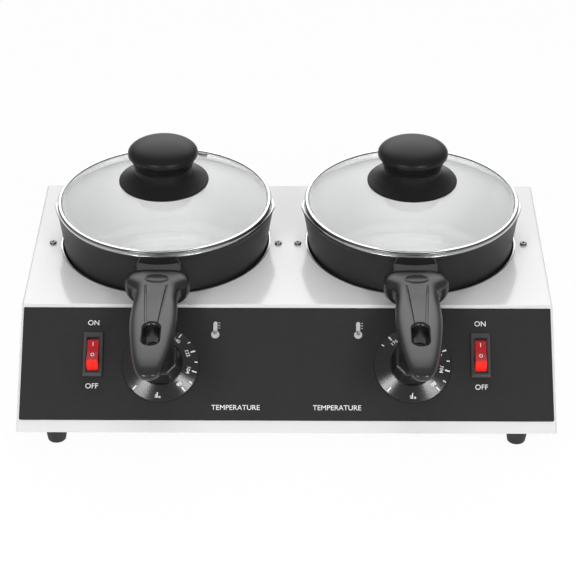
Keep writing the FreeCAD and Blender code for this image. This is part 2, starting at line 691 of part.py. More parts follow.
def make_well_screws():
    """The cross-slot screws in the top plate beside each pan."""
    screws = []
    length = SHEET + WELL_WALL + NUT_HEIGHT
    for x, y in well_screw_points():
        screw = pan_head_screw(WELL_SCREW_RADIUS, length, WELL_SCREW_HEAD_RADIUS, WELL_SCREW_HEAD_HEIGHT)
        screw.translate(vec(x, y, FOLD_Z))
        screws.append(screw)
    return screws


def make_well_nuts():
    """The nuts below the wells' ears."""
    z = TOP_UNDERSIDE_Z - WELL_WALL - NUT_HEIGHT
    return [hex_nut(NUT_WIDTH, NUT_HEIGHT, WELL_SCREW_RADIUS, x, y, z) for x, y in well_screw_points()]


def ring_below(radius, thickness, z_low):
    """A disc on each well's stud, with its lower face at z_low."""
    discs = []
    for _, side in SIDES:
        disc = rod(radius, thickness, side * PAN_X, PAN_Y, z_low)
        discs.append(disc.cut(rod(STUD_RADIUS, thickness, side * PAN_X, PAN_Y, z_low)))
    return discs


def heater_tab_y():
    """Y of the front ends of the heaters' terminal tabs."""
    return PAN_Y - HEATER_RADIUS - TAB_LENGTH


def make_heater_discs():
    """The two heating discs, each with two terminal tabs at its front edge."""
    heaters = []
    z = HEATER_LOW_Z + HEATER_THICKNESS / 2 - TAB_THICKNESS / 2
    for disc, (_, side) in zip(ring_below(HEATER_RADIUS, HEATER_THICKNESS, HEATER_LOW_Z), SIDES):
        for end in (-1, 1):
            x = side * PAN_X + end * HEATER_TAB_X
            disc = disc.fuse(block(x - TAB_WIDTH / 2, x + TAB_WIDTH / 2, heater_tab_y(),
                                   PAN_Y - HEATER_RADIUS * 0.9, z, z + TAB_THICKNESS))
        heaters.append(disc.removeSplitter())
    return heaters


def make_heater_nuts():
    """The nuts that clamp each heater."""
    return [hex_nut(THIN_NUT_WIDTH, STUD_NUT_HEIGHT, STUD_RADIUS, side * PAN_X, PAN_Y,
                    CLAMP_LOW_Z - STUD_NUT_HEIGHT) for _, side in SIDES]


def make_thermostat(dial_x):
    """A capillary thermostat behind the slope, with two terminal tabs and a threaded shaft bush."""
    low = -SHEET - THERMOSTAT_DEPTH
    body = rounded_box(THERMOSTAT_SIZE, THERMOSTAT_SIZE, THERMOSTAT_DEPTH, THERMOSTAT_CORNER, low)
    bore_depth = SHAFT_DEPTH + FIT_GAP
    body = body.cut(rod(SHAFT_RADIUS + RUNNING_GAP, bore_depth, 0, 0, -bore_depth))
    for end in (-1, 1):
        screw_hole = THERMOSTAT_SCREW_DEPTH + THREAD_RUNOUT
        body = body.cut(rod(WELL_SCREW_RADIUS, screw_hole, end * THERMOSTAT_SCREW_X, 0, -SHEET - screw_hole))
        x = end * THERMOSTAT_TAB_X
        tab = block(x - TAB_THICKNESS / 2, x + TAB_THICKNESS / 2, -TAB_WIDTH / 2, TAB_WIDTH / 2,
                    low - THERMOSTAT_TAB_LENGTH, low + TAB_ROOT)
        body = body.fuse(tab)
    return on_panel(body.removeSplitter(), dial_x, DIAL_DOWN)


def make_thermostat_screws():
    """The screws that hold the thermostats, hidden below the dials."""
    screws = []
    for x, down in thermostat_screw_points():
        screw = pan_head_screw(WELL_SCREW_RADIUS, PANEL_THICKNESS + SHEET + THERMOSTAT_SCREW_DEPTH,
                               THERMOSTAT_SCREW_HEAD_RADIUS, THERMOSTAT_SCREW_HEAD_HEIGHT)
        screw.translate(vec(0, 0, PANEL_FACE))
        screws.append(on_panel(screw, x, down))
    return screws


def make_capillary(pan_x, dial_x):
    """A bulb in its sleeve, with the thin tube that leads to the back of the thermostat."""
    back = SHEET + THERMOSTAT_DEPTH
    port_up = CAPILLARY_PORT_UP
    bulb = rod(BULB_RADIUS, BULB_LENGTH, pan_x, BULB_Y, BULB_LOW_Z)
    port = panel_point(pan_x, DIAL_DOWN, port_up, -back)
    way_out = panel_point(pan_x, DIAL_DOWN, port_up, -back - CAPILLARY_TAIL)
    points = [
        port,
        way_out,
        vec(pan_x, BULB_Y - CAPILLARY_BEND, way_out.z - CAPILLARY_DIP),
        vec(pan_x, BULB_Y, way_out.z + CAPILLARY_DIP),
        vec(pan_x, BULB_Y, BULB_LOW_Z),
    ]
    return bulb.fuse(tube(points, CAPILLARY_RADIUS)).removeSplitter()


def make_dial_shaft(dial_x):
    """The thermostat's shaft, with a flat along the part that the dial grips."""
    top = DIAL_TOP + KNOB_BORE_DEPTH
    shaft = rod(SHAFT_RADIUS, SHAFT_DEPTH + top, 0, 0, -SHAFT_DEPTH)
    flat = block(-SHAFT_RADIUS, SHAFT_RADIUS, SHAFT_FLAT, SHAFT_RADIUS, DIAL_BASE, top)
    return on_panel(shaft.cut(flat), dial_x, DIAL_DOWN)


def shaft_bore(low, high):
    """The D-shaped bore that fits the shaft, between two heights over the slope."""
    bore = rod(SHAFT_RADIUS, high - low, 0, 0, low)
    return bore.cut(block(-SHAFT_RADIUS, SHAFT_RADIUS, SHAFT_FLAT, SHAFT_RADIUS, low, high))


def make_dial_skirt(dial_x):
    """The conical scale ring of the dial, hollow below."""
    shell = DIAL_SHELL
    skirt = turned([
        (DIAL_RADIUS - shell, DIAL_BASE),
        (DIAL_RADIUS, DIAL_BASE),
        (DIAL_RADIUS, DIAL_BASE + DIAL_EDGE),
        (DIAL_TOP_RADIUS, DIAL_TOP),
        (0, DIAL_TOP),
        (0, DIAL_TOP - shell),
        (DIAL_TOP_RADIUS - shell, DIAL_TOP - shell),
        (DIAL_RADIUS - shell, DIAL_BASE + DIAL_EDGE - shell * ROUND_SHARE),
    ])
    return on_panel(skirt.cut(shaft_bore(DIAL_BASE, DIAL_TOP)), dial_x, DIAL_DOWN)


def cut_square(flats, z):
    """A square outline with cut corners, at height z."""
    half = flats / 2
    corner = half - KNOB_CORNER_CUT * flats / KNOB_FLATS
    points = [vec(half, -corner, z), vec(half, corner, z), vec(corner, half, z), vec(-corner, half, z),
              vec(-half, corner, z), vec(-half, -corner, z), vec(-corner, -half, z), vec(corner, -half, z)]
    return Part.makePolygon(points + points[:1])


def make_dial_knob(dial_x):
    """The raised, tapered grip of the dial."""
    top = DIAL_TOP + KNOB_HEIGHT
    grip = Part.makeLoft([cut_square(KNOB_FLATS, DIAL_TOP), cut_square(KNOB_FLATS - 2 * KNOB_TAPER, top)],
                         True, True)
    top_edges = [edge for edge in grip.Edges if edge.BoundBox.ZMin > top - TINY]
    grip = grip.makeFillet(KNOB_EDGE_RADIUS, top_edges)
    return on_panel(grip.cut(shaft_bore(DIAL_TOP, DIAL_TOP + KNOB_BORE_DEPTH)), dial_x, DIAL_DOWN)


def rocker_slot_length():
    """Length of the opening in the switch's bezel."""
    return 2 * (ROCKER_RADIUS + ROCKER_SIDE_GAP)


def make_switch_housing(switch_x):
    """A switch's bezel and body, open at the front, with two bearing holes for the rocker's pins."""
    bezel = rounded_box(BEZEL_WIDTH, BEZEL_LENGTH, BEZEL_HEIGHT, BEZEL_CORNER, PANEL_FACE)
    rim = [edge for edge in bezel.Edges if edge.BoundBox.ZMin > BEZEL_FACE - TINY]
    bezel = bezel.makeFillet(BEZEL_EDGE, rim)
    low = -SWITCH_BODY_DEPTH
    body = block(-SWITCH_BODY_WIDTH / 2, SWITCH_BODY_WIDTH / 2, -SWITCH_BODY_LENGTH / 2,
                 SWITCH_BODY_LENGTH / 2, low, PANEL_FACE)
    well_floor = ROCKER_PIVOT - ROCKER_RADIUS * math.sin(math.radians(ROCKER_TILT)) - 2 * ROCKER_BELLY
    length = rocker_slot_length()
    slot = block(-ROCKER_SLOT_WIDTH / 2, ROCKER_SLOT_WIDTH / 2, -length / 2, length / 2,
                 well_floor, BEZEL_FACE)
    pin_hole = rod(ROCKER_PIN_RADIUS + RUNNING_GAP, ROCKER_SLOT_WIDTH + 2 * ROCKER_PIN_LENGTH,
                   -ROCKER_SLOT_WIDTH / 2 - ROCKER_PIN_LENGTH, 0, ROCKER_PIVOT, vec(1, 0, 0))
    return on_panel(bezel.fuse(body).cut(slot).cut(pin_hole).removeSplitter(), switch_x, SWITCH_DOWN)


def make_rocker(switch_x):
    """A rocker with a dished face, resting at ON with its upper end pressed in."""
    lip = math.radians(ROCKER_LIP_ANGLE)
    lip_y = ROCKER_RADIUS * math.cos(lip)
    lip_z = ROCKER_RADIUS * math.sin(lip)
    dish_z = lip_z - lip_y * math.tan(math.radians(ROCKER_TILT))
    belly_y = math.sqrt(ROCKER_RADIUS ** 2 - ROCKER_BELLY ** 2)
    middle = lip / 2
    bulge_y = ROCKER_RADIUS * math.cos(middle)
    bulge_z = ROCKER_RADIUS * math.sin(middle)
    half = ROCKER_SLOT_WIDTH / 2 - ROCKER_SIDE_GAP
    belly = [vec(-half, side * belly_y, -ROCKER_BELLY) for side in (-1, 1)]
    lips = [vec(-half, side * lip_y, lip_z) for side in (-1, 1)]
    bulges = [vec(-half, side * bulge_y, bulge_z) for side in (-1, 1)]
    dish = vec(-half, 0, dish_z)
    outline = Part.Wire([
        Part.LineSegment(belly[0], belly[1]).toShape(),
        Part.Arc(belly[1], bulges[1], lips[1]).toShape(),
        Part.LineSegment(lips[1], dish).toShape(),
        Part.LineSegment(dish, lips[0]).toShape(),
        Part.Arc(lips[0], bulges[0], belly[0]).toShape(),
    ])
    rocker = Part.Face(outline).extrude(vec(2 * half, 0, 0))
    pin_length = 2 * (ROCKER_SLOT_WIDTH / 2 + ROCKER_PIN_LENGTH - FIT_GAP)
    rocker = rocker.fuse(rod(ROCKER_PIN_RADIUS, pin_length, -pin_length / 2, 0, 0, vec(1, 0, 0)))
    rocker.rotate(vec(0, 0, 0), vec(1, 0, 0), -ROCKER_TILT)
    rocker.translate(vec(0, 0, ROCKER_PIVOT))
    return on_panel(rocker.removeSplitter(), switch_x, SWITCH_DOWN)


def make_switch_terminals():
    """The flat tabs behind each switch."""
    tabs = []
    for _, side in SIDES:
        for place in (-1, 0, 1):
            y = place * SWITCH_TAB_PITCH
            tab = block(-TAB_WIDTH / 2, TAB_WIDTH / 2, y - TAB_THICKNESS / 2, y + TAB_THICKNESS / 2,
                        -SWITCH_BODY_DEPTH - TAB_LENGTH, -SWITCH_BODY_DEPTH)
            tabs.append(on_panel(tab, side * SWITCH_X, SWITCH_DOWN))
    return tabs


def make_pan(pan_x):
    """A dipped pan with a rim bead and a pouring spout on each side."""
    wall_top = PAN_RIM_Z
    bead_low = PAN_RIM_Z - PAN_RIM_HEIGHT
    outside = turned([
        (0, WELL_FLOOR_Z),
        (PAN_BASE_RADIUS, WELL_FLOOR_Z),
        (PAN_TOP_RADIUS, wall_top),
        (0, wall_top),
    ])
    low_edge = [edge for edge in outside.Edges
                if edge.BoundBox.ZMax < WELL_FLOOR_Z + TINY and edge.BoundBox.XLength > PAN_BASE_RADIUS]
    outside = outside.makeFillet(PAN_CORNER_RADIUS, low_edge)
    bead = rod(PAN_RIM_RADIUS, PAN_RIM_HEIGHT, 0, 0, bead_low)
    bead_edges = [edge for edge in bead.Edges if edge.BoundBox.ZLength < TINY]
    bead = bead.makeFillet(PAN_RIM_EDGE, bead_edges)
    inside = turned([
        (0, WELL_FLOOR_Z + PAN_FLOOR),
        (PAN_BASE_RADIUS - PAN_WALL, WELL_FLOOR_Z + PAN_FLOOR),
        (PAN_TOP_RADIUS - PAN_WALL, wall_top + SHEET),
        (0, wall_top + SHEET),
    ])
    low_edge = [edge for edge in inside.Edges
                if edge.BoundBox.ZMax < WELL_FLOOR_Z + PAN_FLOOR + TINY
                and edge.BoundBox.XLength > PAN_BASE_RADIUS]
    inside = inside.makeFillet(PAN_CORNER_RADIUS - PAN_WALL, low_edge)
    spouts = []
    mouths = []
    low = wall_top - SPOUT_HEIGHT
    height = SPOUT_HEIGHT - SPOUT_DIP
    growth = (SPOUT_RADIUS - SPOUT_TIP_RADIUS) / height
    for side in (-1, 1):
        x = side * (SPOUT_REACH - SPOUT_RADIUS)
        spouts.append(Part.makeCone(SPOUT_TIP_RADIUS, SPOUT_RADIUS, height, vec(x, 0, low)))
        mouths.append(Part.makeCone(SPOUT_TIP_RADIUS / 2, SPOUT_RADIUS - SPOUT_WALL + growth * SPOUT_DIP,
                                    height + SPOUT_DIP, vec(x, 0, low + SPOUT_WALL)))
    pan = outside.fuse([bead] + spouts).cut([inside] + mouths).removeSplitter()
    pan.translate(vec(pan_x, PAN_Y, 0))
    return pan


def make_handle_bracket(pan_x):
    """A plate welded to the pan's wall, narrow below the rim, with a tongue into the handle."""
    low = HANDLE_Z - BRACKET_DROP
    shoulder = HANDLE_Z + BRACKET_SHOULDER
    high = PAN_RIM_Z - PAN_RIM_HEIGHT - FIT_GAP
    skin = Part.makeCone(pan_radius(low) + BRACKET_PLATE, pan_radius(high) + BRACKET_PLATE,
                         high - low, vec(0, 0, low))
    wall = Part.makeCone(pan_radius(low - SHEET), pan_radius(high + SHEET), high - low + 2 * SHEET,
                         vec(0, 0, low - SHEET))
    wide = BRACKET_PLATE_WIDTH / 2
    narrow = BRACKET_TOP_WIDTH / 2
    far = -PAN_RIM_RADIUS - BRACKET_PLATE
    outline = [vec(-wide, far, low), vec(wide, far, low), vec(wide, far, shoulder), vec(narrow, far, high),
               vec(-narrow, far, high), vec(-wide, far, shoulder)]
    window = Part.Face(Part.makePolygon(outline + outline[:1])).extrude(vec(0, PAN_RIM_RADIUS / 2, 0))
    tongue = block(-TONGUE_WIDTH / 2, TONGUE_WIDTH / 2, TONGUE_END_Y - PAN_Y, -PAN_RIM_RADIUS / 2,
                   HANDLE_Z - TONGUE_HEIGHT / 2, HANDLE_Z + TONGUE_HEIGHT / 2)
    bracket = skin.common(window).fuse(tongue).cut(wall)
    screw_tip = HANDLE_START_Y + HANDLE_SCREW_REACH - PAN_Y
    bore = rod(HANDLE_SCREW_RADIUS, screw_tip - (TONGUE_END_Y - PAN_Y), 0, TONGUE_END_Y - PAN_Y,
               HANDLE_Z, vec(0, 1, 0))
    bracket = bracket.cut(bore).removeSplitter()
    bracket.translate(vec(pan_x, PAN_Y, 0))
    return bracket


def tongue_pocket(y0, y1):
    """The space round the bracket's tongue between two places along Y."""
    half = TONGUE_WIDTH / 2 + FIT_GAP
    rise = TONGUE_HEIGHT / 2 + FIT_GAP
    return block(-half, half, y0, y1, HANDLE_Z - rise, HANDLE_Z + rise)


def make_handle_ferrule(pan_x):
    """The stepped neck between the bracket's plate and the handle, wider at each step."""
    neck = None
    back = PAN_WALL_Y + BRACKET_PLATE
    step = (PAN_WALL_Y - BRACKET_PLATE - HANDLE_START_Y) / FERRULE_COUNT
    for k in range(FERRULE_COUNT):
        front = HANDLE_START_Y + (FERRULE_COUNT - 1 - k) * step
        ring = rounded_box(FERRULE_WIDTH + k * FERRULE_STEP_GROWTH, FERRULE_HEIGHT + k * FERRULE_STEP_RISE,
                           step if k else back - front, FERRULE_ROUND)
        ring.rotate(vec(0, 0, 0), vec(1, 0, 0), -90)
        ring.translate(vec(0, front, HANDLE_Z))
        neck = ring if neck is None else neck.fuse(ring)
    low = HANDLE_Z - FERRULE_HEIGHT
    high = HANDLE_Z + FERRULE_HEIGHT
    gap = BRACKET_PLATE + FIT_GAP
    plate = Part.makeCone(pan_radius(low) + gap, pan_radius(high) + gap, high - low, vec(0, PAN_Y, low))
    neck = neck.cut([plate, tongue_pocket(HANDLE_START_Y, PAN_WALL_Y + BRACKET_PLATE)]).removeSplitter()
    neck.translate(vec(pan_x, 0, 0))
    return neck


def handle_section(y, half_width, middle, rise, drop):
    """A soft-cornered closed outline across the handle, squarer on top than below."""
    points = []
    for k in range(HANDLE_SECTION_COUNT):
        angle = (k + 0.5) * 2 * math.pi / HANDLE_SECTION_COUNT
        power = TOP_SQUARENESS if math.sin(angle) > 0 else LOWER_SQUARENESS
        reach = rise if math.sin(angle) > 0 else drop
        across = math.copysign(abs(math.cos(angle)) ** power, math.cos(angle))
        upward = math.copysign(abs(math.sin(angle)) ** power, math.sin(angle))
        points.append(vec(half_width * across, y, HANDLE_Z + middle + reach * upward))
    curve = Part.BSplineCurve()
    curve.interpolate(points, PeriodicFlag=True)
    return Part.Wire(curve.toShape())


def make_handle(pan_x):
    """The moulded grip with its flared guard, hang hole and screw channel."""
    sections = [handle_section(HANDLE_START_Y - share * HANDLE_LENGTH, half_width, middle, rise, drop)
                for share, half_width, middle, rise, drop in HANDLE_STATIONS]
    grip = Part.makeLoft(sections, True, False)
    hole_far = HANG_HOLE_Y - HANG_HOLE_LENGTH
    hole_radius = HANG_HOLE_WIDTH / 2
    low = HANDLE_Z - PAN_HEIGHT / 2
    hole = block(-hole_radius, hole_radius, hole_far + hole_radius, HANG_HOLE_Y - hole_radius,
                 low, low + PAN_HEIGHT)
    hole = hole.fuse([rod(hole_radius, PAN_HEIGHT, 0, hole_far + hole_radius, low),
                      rod(hole_radius, PAN_HEIGHT, 0, HANG_HOLE_Y - hole_radius, low)])
    seat = HANG_HOLE_Y + HANDLE_SCREW_SEAT
    head_bore = rod(HANDLE_SCREW_HEAD_RADIUS + FIT_GAP, HANDLE_SCREW_SEAT + hole_radius, 0, seat, HANDLE_Z,
                    vec(0, -1, 0))
    shank_bore = rod(HANDLE_SCREW_RADIUS + FIT_GAP, HANDLE_START_Y - seat, 0, seat, HANDLE_Z, vec(0, 1, 0))
    pocket = tongue_pocket(TONGUE_END_Y - FIT_GAP, HANDLE_START_Y + FIT_GAP)
    grip = grip.cut([hole, head_bore, shank_bore, pocket])
    grip.translate(vec(pan_x, 0, 0))
    return grip


def make_handle_screw(pan_x):
    """The long screw from the hang hole into the bracket's tongue."""
    seat = HANG_HOLE_Y + HANDLE_SCREW_SEAT
    length = HANDLE_START_Y + HANDLE_SCREW_REACH - seat
    screw = pan_head_screw(HANDLE_SCREW_RADIUS, length, HANDLE_SCREW_HEAD_RADIUS, HANDLE_SCREW_HEAD_HEIGHT)
    screw.rotate(vec(0, 0, 0), vec(1, 0, 0), 90)
    screw.translate(vec(pan_x, seat, HANDLE_Z))
    return screw


def glass_z(radius, sphere=GLASS_SPHERE_RADIUS):
    """Height of one of the glass's two surfaces at a distance from the lid's centre."""
    return GLASS_CENTRE_Z + math.sqrt(sphere ** 2 - radius ** 2)


def on_glass(shape):
    """Place a shape, made along Z from the sphere's centre, at the steam vent."""
    tilt = math.degrees(math.asin(GROMMET_CIRCLE / GLASS_SPHERE_RADIUS))
    placed = shape.copy()
    placed.rotate(vec(0, 0, 0), vec(0, 1, 0), tilt)
    placed.rotate(vec(0, 0, 0), vec(0, 0, 1), GROMMET_AZIMUTH)
    placed.translate(vec(0, 0, GLASS_CENTRE_Z))
    return placed


def make_lid_glass(pan_x):
    """The domed glass, with a hole for the knob's screw and one for the steam vent."""
    centre = vec(0, 0, GLASS_CENTRE_Z)
    shell = Part.makeSphere(GLASS_SPHERE_RADIUS, centre).cut(Part.makeSphere(GLASS_INNER_SPHERE, centre))
    glass = shell.common(rod(GLASS_RADIUS, GLASS_SPHERE_RADIUS, 0, 0, GLASS_SEAT_Z))
    glass = glass.cut(rod(LID_SCREW_RADIUS + FIT_GAP, 2 * GLASS_SPHERE_RADIUS, 0, 0, GLASS_CENTRE_Z))
    vent = rod(GROMMET_BARREL_RADIUS + RUNNING_GAP, 2 * GLASS_SPHERE_RADIUS, 0, 0, 0)
    glass = glass.cut(on_glass(vent))
    glass.translate(vec(pan_x, PAN_Y, 0))
    return glass


def make_lid_rim(pan_x):
    """The steel band that clasps the glass and rests on the pan's rim."""
    top = LID_TOP_Z
    web = LID_BAND_RADIUS - LID_WALL
    lip = GLASS_LIP_RADIUS
    skirt = LID_SEAT_RADIUS - LID_WALL
    rim = turned([
        (skirt, LID_Z - LID_SKIRT_DEPTH),
        (LID_SEAT_RADIUS, LID_Z - LID_SKIRT_DEPTH),
        (LID_SEAT_RADIUS, LID_Z),
        (LID_BAND_RADIUS, LID_Z),
        (LID_BAND_RADIUS, top - LID_BAND_CHAMFER),
        (LID_BAND_RADIUS - LID_BAND_CHAMFER, top),
        (lip, top),
        (lip, top - LID_LIP_THICKNESS),
        (web, top - LID_LIP_THICKNESS),
        (web, LID_Z + LID_LIP_THICKNESS),
        (skirt, LID_Z + LID_LIP_THICKNESS),
    ], pan_x, PAN_Y)
    return rim


def make_lid_knob_skirt(pan_x):
    """The wide flange below the knob, hollowed to sit on the glass."""
    edge_z = glass_z(KNOB_SKIRT_RADIUS)
    shoulder_z = edge_z + FIT_GAP + KNOB_SKIRT_EDGE
    low = vec(0, 0, edge_z)
    edge_low = vec(KNOB_SKIRT_RADIUS, 0, edge_z)
    edge_high = vec(KNOB_SKIRT_RADIUS, 0, shoulder_z)
    neck = vec(KNOB_NECK_RADIUS, 0, KNOB_NECK_Z)
    ring_top = vec(KNOB_NECK_RADIUS, 0, KNOB_RING_Z)
    top = vec(0, 0, KNOB_RING_Z)
    outline = Part.makePolygon([low, edge_low, edge_high, neck, ring_top, top, low])
    skirt = Part.Face(outline).revolve(vec(0, 0, 0), vec(0, 0, 1), 360)
    skirt = skirt.cut(Part.makeSphere(GLASS_SPHERE_RADIUS + FIT_GAP, vec(0, 0, GLASS_CENTRE_Z)))
    skirt = skirt.cut(rod(LID_SCREW_RADIUS + FIT_GAP, KNOB_RING_Z, 0, 0, 0))
    skirt.translate(vec(pan_x, PAN_Y, 0))
    return skirt


def lid_screw_seat():
    """Height of the screw head's face below the glass."""
    return glass_z(LID_SCREW_HEAD_RADIUS, GLASS_INNER_SPHERE) - FIT_GAP


def make_lid_knob(pan_x):
    """The mushroom-shaped knob, bored for its screw, with a shadow groove above its skirt."""
    base = KNOB_RING_Z
    edge_z = base + LID_KNOB_FLANK
    foot_radius = LID_KNOB_BASE_RADIUS - LID_KNOB_GROOVE
    foot_top = base + LID_KNOB_GROOVE
    crown = []
    for k in range(KNOB_CURVE_COUNT + 1):
        angle = math.pi / 2 * k / KNOB_CURVE_COUNT
        crown.append(vec(LID_KNOB_RADIUS * math.cos(angle), 0, edge_z + LID_KNOB_CROWN * math.sin(angle)))
    curve = Part.BSplineCurve()
    curve.interpolate(crown)
    points = [vec(0, 0, base), vec(foot_radius, 0, base), vec(foot_radius, 0, foot_top),
              vec(LID_KNOB_BASE_RADIUS, 0, foot_top),
              vec(LID_KNOB_RADIUS - LID_KNOB_EDGE, 0, edge_z - LID_KNOB_EDGE), crown[0]]
    edges = [Part.LineSegment(a, b).toShape() for a, b in zip(points, points[1:])]
    edges.append(curve.toShape())
    edges.append(Part.LineSegment(crown[-1], points[0]).toShape())
    knob = Part.Face(Part.Wire(edges)).revolve(vec(0, 0, 0), vec(0, 0, 1), 360)
    bore = rod(LID_SCREW_RADIUS, lid_screw_seat() + LID_SCREW_LENGTH - base, 0, 0, base)
    knob = knob.cut(bore)
    knob.translate(vec(pan_x, PAN_Y, 0))
    return knob


def make_lid_screw(pan_x):
    """The screw from below the glass up into the knob."""
    screw = pan_head_screw(LID_SCREW_RADIUS, LID_SCREW_LENGTH, LID_SCREW_HEAD_RADIUS, LID_SCREW_HEAD_HEIGHT)
    screw.rotate(vec(0, 0, 0), vec(1, 0, 0), 180)
    screw.translate(vec(pan_x, PAN_Y, lid_screw_seat()))
    return screw


def make_vent_grommet(pan_x):
    """The metal eyelet of the steam vent."""
    low = GLASS_INNER_SPHERE - FIT_GAP
    high = GLASS_SPHERE_RADIUS
    eyelet = rod(GROMMET_BARREL_RADIUS, high - low, 0, 0, low)
    flanges = [rod(GROMMET_FLANGE_RADIUS, GROMMET_FLANGE_HEIGHT, 0, 0, high),
               rod(GROMMET_FLANGE_RADIUS, GROMMET_FLANGE_HEIGHT, 0, 0, low - GROMMET_FLANGE_HEIGHT)]
    eyelet = eyelet.fuse(flanges)
    eyelet = eyelet.cut(rod(GROMMET_HOLE_RADIUS, 3 * GLASS_THICKNESS, 0, 0, low - GLASS_THICKNESS))
    eyelet = on_glass(eyelet.removeSplitter())
    eyelet.translate(vec(pan_x, PAN_Y, 0))
    return eyelet


def inlet_block(width, height, y0, y1):
    """A block across the rear wall with its two upper corners cut off, as the inlet's mouth has."""
    half = width / 2
    low = INLET_Z - height / 2
    high = INLET_Z + height / 2
    outline = [
        vec(-half, y0, low),
        vec(half, y0, low),
        vec(half, y0, high - INLET_CORNER),
        vec(half - INLET_CORNER, y0, high),
        vec(-half + INLET_CORNER, y0, high),
        vec(-half, y0, high - INLET_CORNER),
    ]
    return Part.Face(Part.makePolygon(outline + outline[:1])).extrude(vec(0, y1 - y0, 0))


def inlet_pin_places():
    """X and Z of the live, neutral and earth pins."""
    return [(-PIN_PITCH, INLET_Z - PIN_DROP / 2), (PIN_PITCH, INLET_Z - PIN_DROP / 2),
            (0, INLET_Z + PIN_DROP / 2)]


def pin_tail_y():
    """Y of the rear ends of the pins, inside the casing."""
    return TOP_DEPTH - INLET_BODY_DEPTH - PIN_TAIL


def make_inlet_pins():
    """The three flat pins of the inlet."""
    pins = []
    for x, z in inlet_pin_places():
        pins.append(block(x - PIN_WIDTH / 2, x + PIN_WIDTH / 2, pin_tail_y(),
                          INLET_FACE_Y - INLET_MOUTH_DEPTH + PIN_FRONT,
                          z - PIN_HEIGHT / 2, z + PIN_HEIGHT / 2))
    return pins


def make_power_inlet():
    """The inlet socket in the rear wall, for a detachable lead."""
    flange = rounded_box(INLET_FLANGE_WIDTH, INLET_FLANGE_HEIGHT, INLET_FLANGE_THICKNESS, INLET_CORNER)
    flange.rotate(vec(0, 0, 0), vec(1, 0, 0), -90)
    flange.translate(vec(0, TOP_DEPTH, INLET_Z))
    body = inlet_block(INLET_BODY_WIDTH, INLET_BODY_HEIGHT, TOP_DEPTH - INLET_BODY_DEPTH, TOP_DEPTH)
    mouth = inlet_block(INLET_MOUTH_WIDTH, INLET_MOUTH_HEIGHT, INLET_FACE_Y - INLET_MOUTH_DEPTH,
                        INLET_FACE_Y)
    holes = [rod(INLET_SCREW_RADIUS, 3 * INLET_FLANGE_THICKNESS, side * INLET_SCREW_X, INLET_FACE_Y,
                 INLET_Z, vec(0, -1, 0)) for side in (-1, 1)]
    return flange.fuse(body).cut([mouth] + holes + make_inlet_pins()).removeSplitter()


def make_inlet_screws():
    """The two screws of the inlet's flange."""
    screws = []
    for side in (-1, 1):
        screw = pan_head_screw(INLET_SCREW_RADIUS, INLET_SCREW_LENGTH, INLET_SCREW_HEAD_RADIUS,
                               INLET_SCREW_HEAD_HEIGHT)
        screw.rotate(vec(0, 0, 0), vec(1, 0, 0), -90)
        screw.translate(vec(side * INLET_SCREW_X, INLET_FACE_Y, INLET_Z))
        screws.append(screw)
    return screws


def block_way_x(way):
    """X of one way of the terminal block, counted from the left."""
    return (way - (BLOCK_WAYS - 1) / 2) * BLOCK_PITCH


def make_terminal_block():
    """The terminal block on the bottom plate."""
    body = rounded_box(BLOCK_LENGTH, BLOCK_WIDTH, BLOCK_HEIGHT, BLOCK_CORNER, BASE_TOP_Z)
    body.translate(vec(0, BLOCK_Y, 0))
    cutters = []
    for way in range(BLOCK_WAYS):
        x = block_way_x(way)
        cutters.append(rod(LEAD_RADIUS + SAFE_GAP, BLOCK_WIDTH, x, BLOCK_Y - BLOCK_WIDTH / 2,
                           LEAD_BLOCK_Z, vec(0, 1, 0)))
        for end in (-1, 1):
            y = BLOCK_Y + end * BLOCK_WIDTH / 4
            z = BASE_TOP_Z + BLOCK_HEIGHT - BLOCK_SCREW_DEPTH
            cutters.append(rod(BLOCK_SCREW_RADIUS, BLOCK_SCREW_DEPTH, x, y, z))
    return body.cut(cutters)


def inlet_lead(pin, way):
    """The lead from one inlet pin, forward between the wells, to the back of the terminal block."""
    x, z = inlet_pin_places()[pin]
    side = math.copysign(1, x)
    end_x = block_way_x(way)
    bend_x, bend_y, bend_z = INLET_LEAD_BEND
    return tube([
        vec(x, pin_tail_y(), z),
        vec(x, pin_tail_y() - INLET_LEAD_TAIL, z),
        vec(side * bend_x, bend_y, bend_z),
        vec(end_x, INLET_LEAD_DOWN_Y, LEAD_BLOCK_Z),
        vec(end_x, BLOCK_REAR_END, LEAD_BLOCK_Z),
    ], LEAD_RADIUS)


def switch_feed(side, way):
    """The live lead from the terminal block to a switch's middle tab."""
    x = block_way_x(way)
    switch_x = side * SWITCH_X
    return tube([
        vec(x, BLOCK_FRONT_END, LEAD_BLOCK_Z),
        vec(x, SWITCH_FEED_FRONT_Y, LEAD_BLOCK_Z),
        vec(side * SWITCH_FEED_FAN_X, SWITCH_FEED_Y, LEAD_HIGH_Z),
        vec(side * (SWITCH_X - SWITCH_FEED_INSET), SWITCH_FEED_Y, LEAD_HIGH_Z),
        vec(switch_x, SWITCH_FEED_Y, LEAD_HIGH_Z + SWITCH_FEED_RISE),
        panel_point(switch_x, SWITCH_DOWN, 0, SWITCH_TAB_OUT - LEAD_TAIL),
        panel_point(switch_x, SWITCH_DOWN, 0, SWITCH_TAB_OUT),
    ], LEAD_RADIUS)


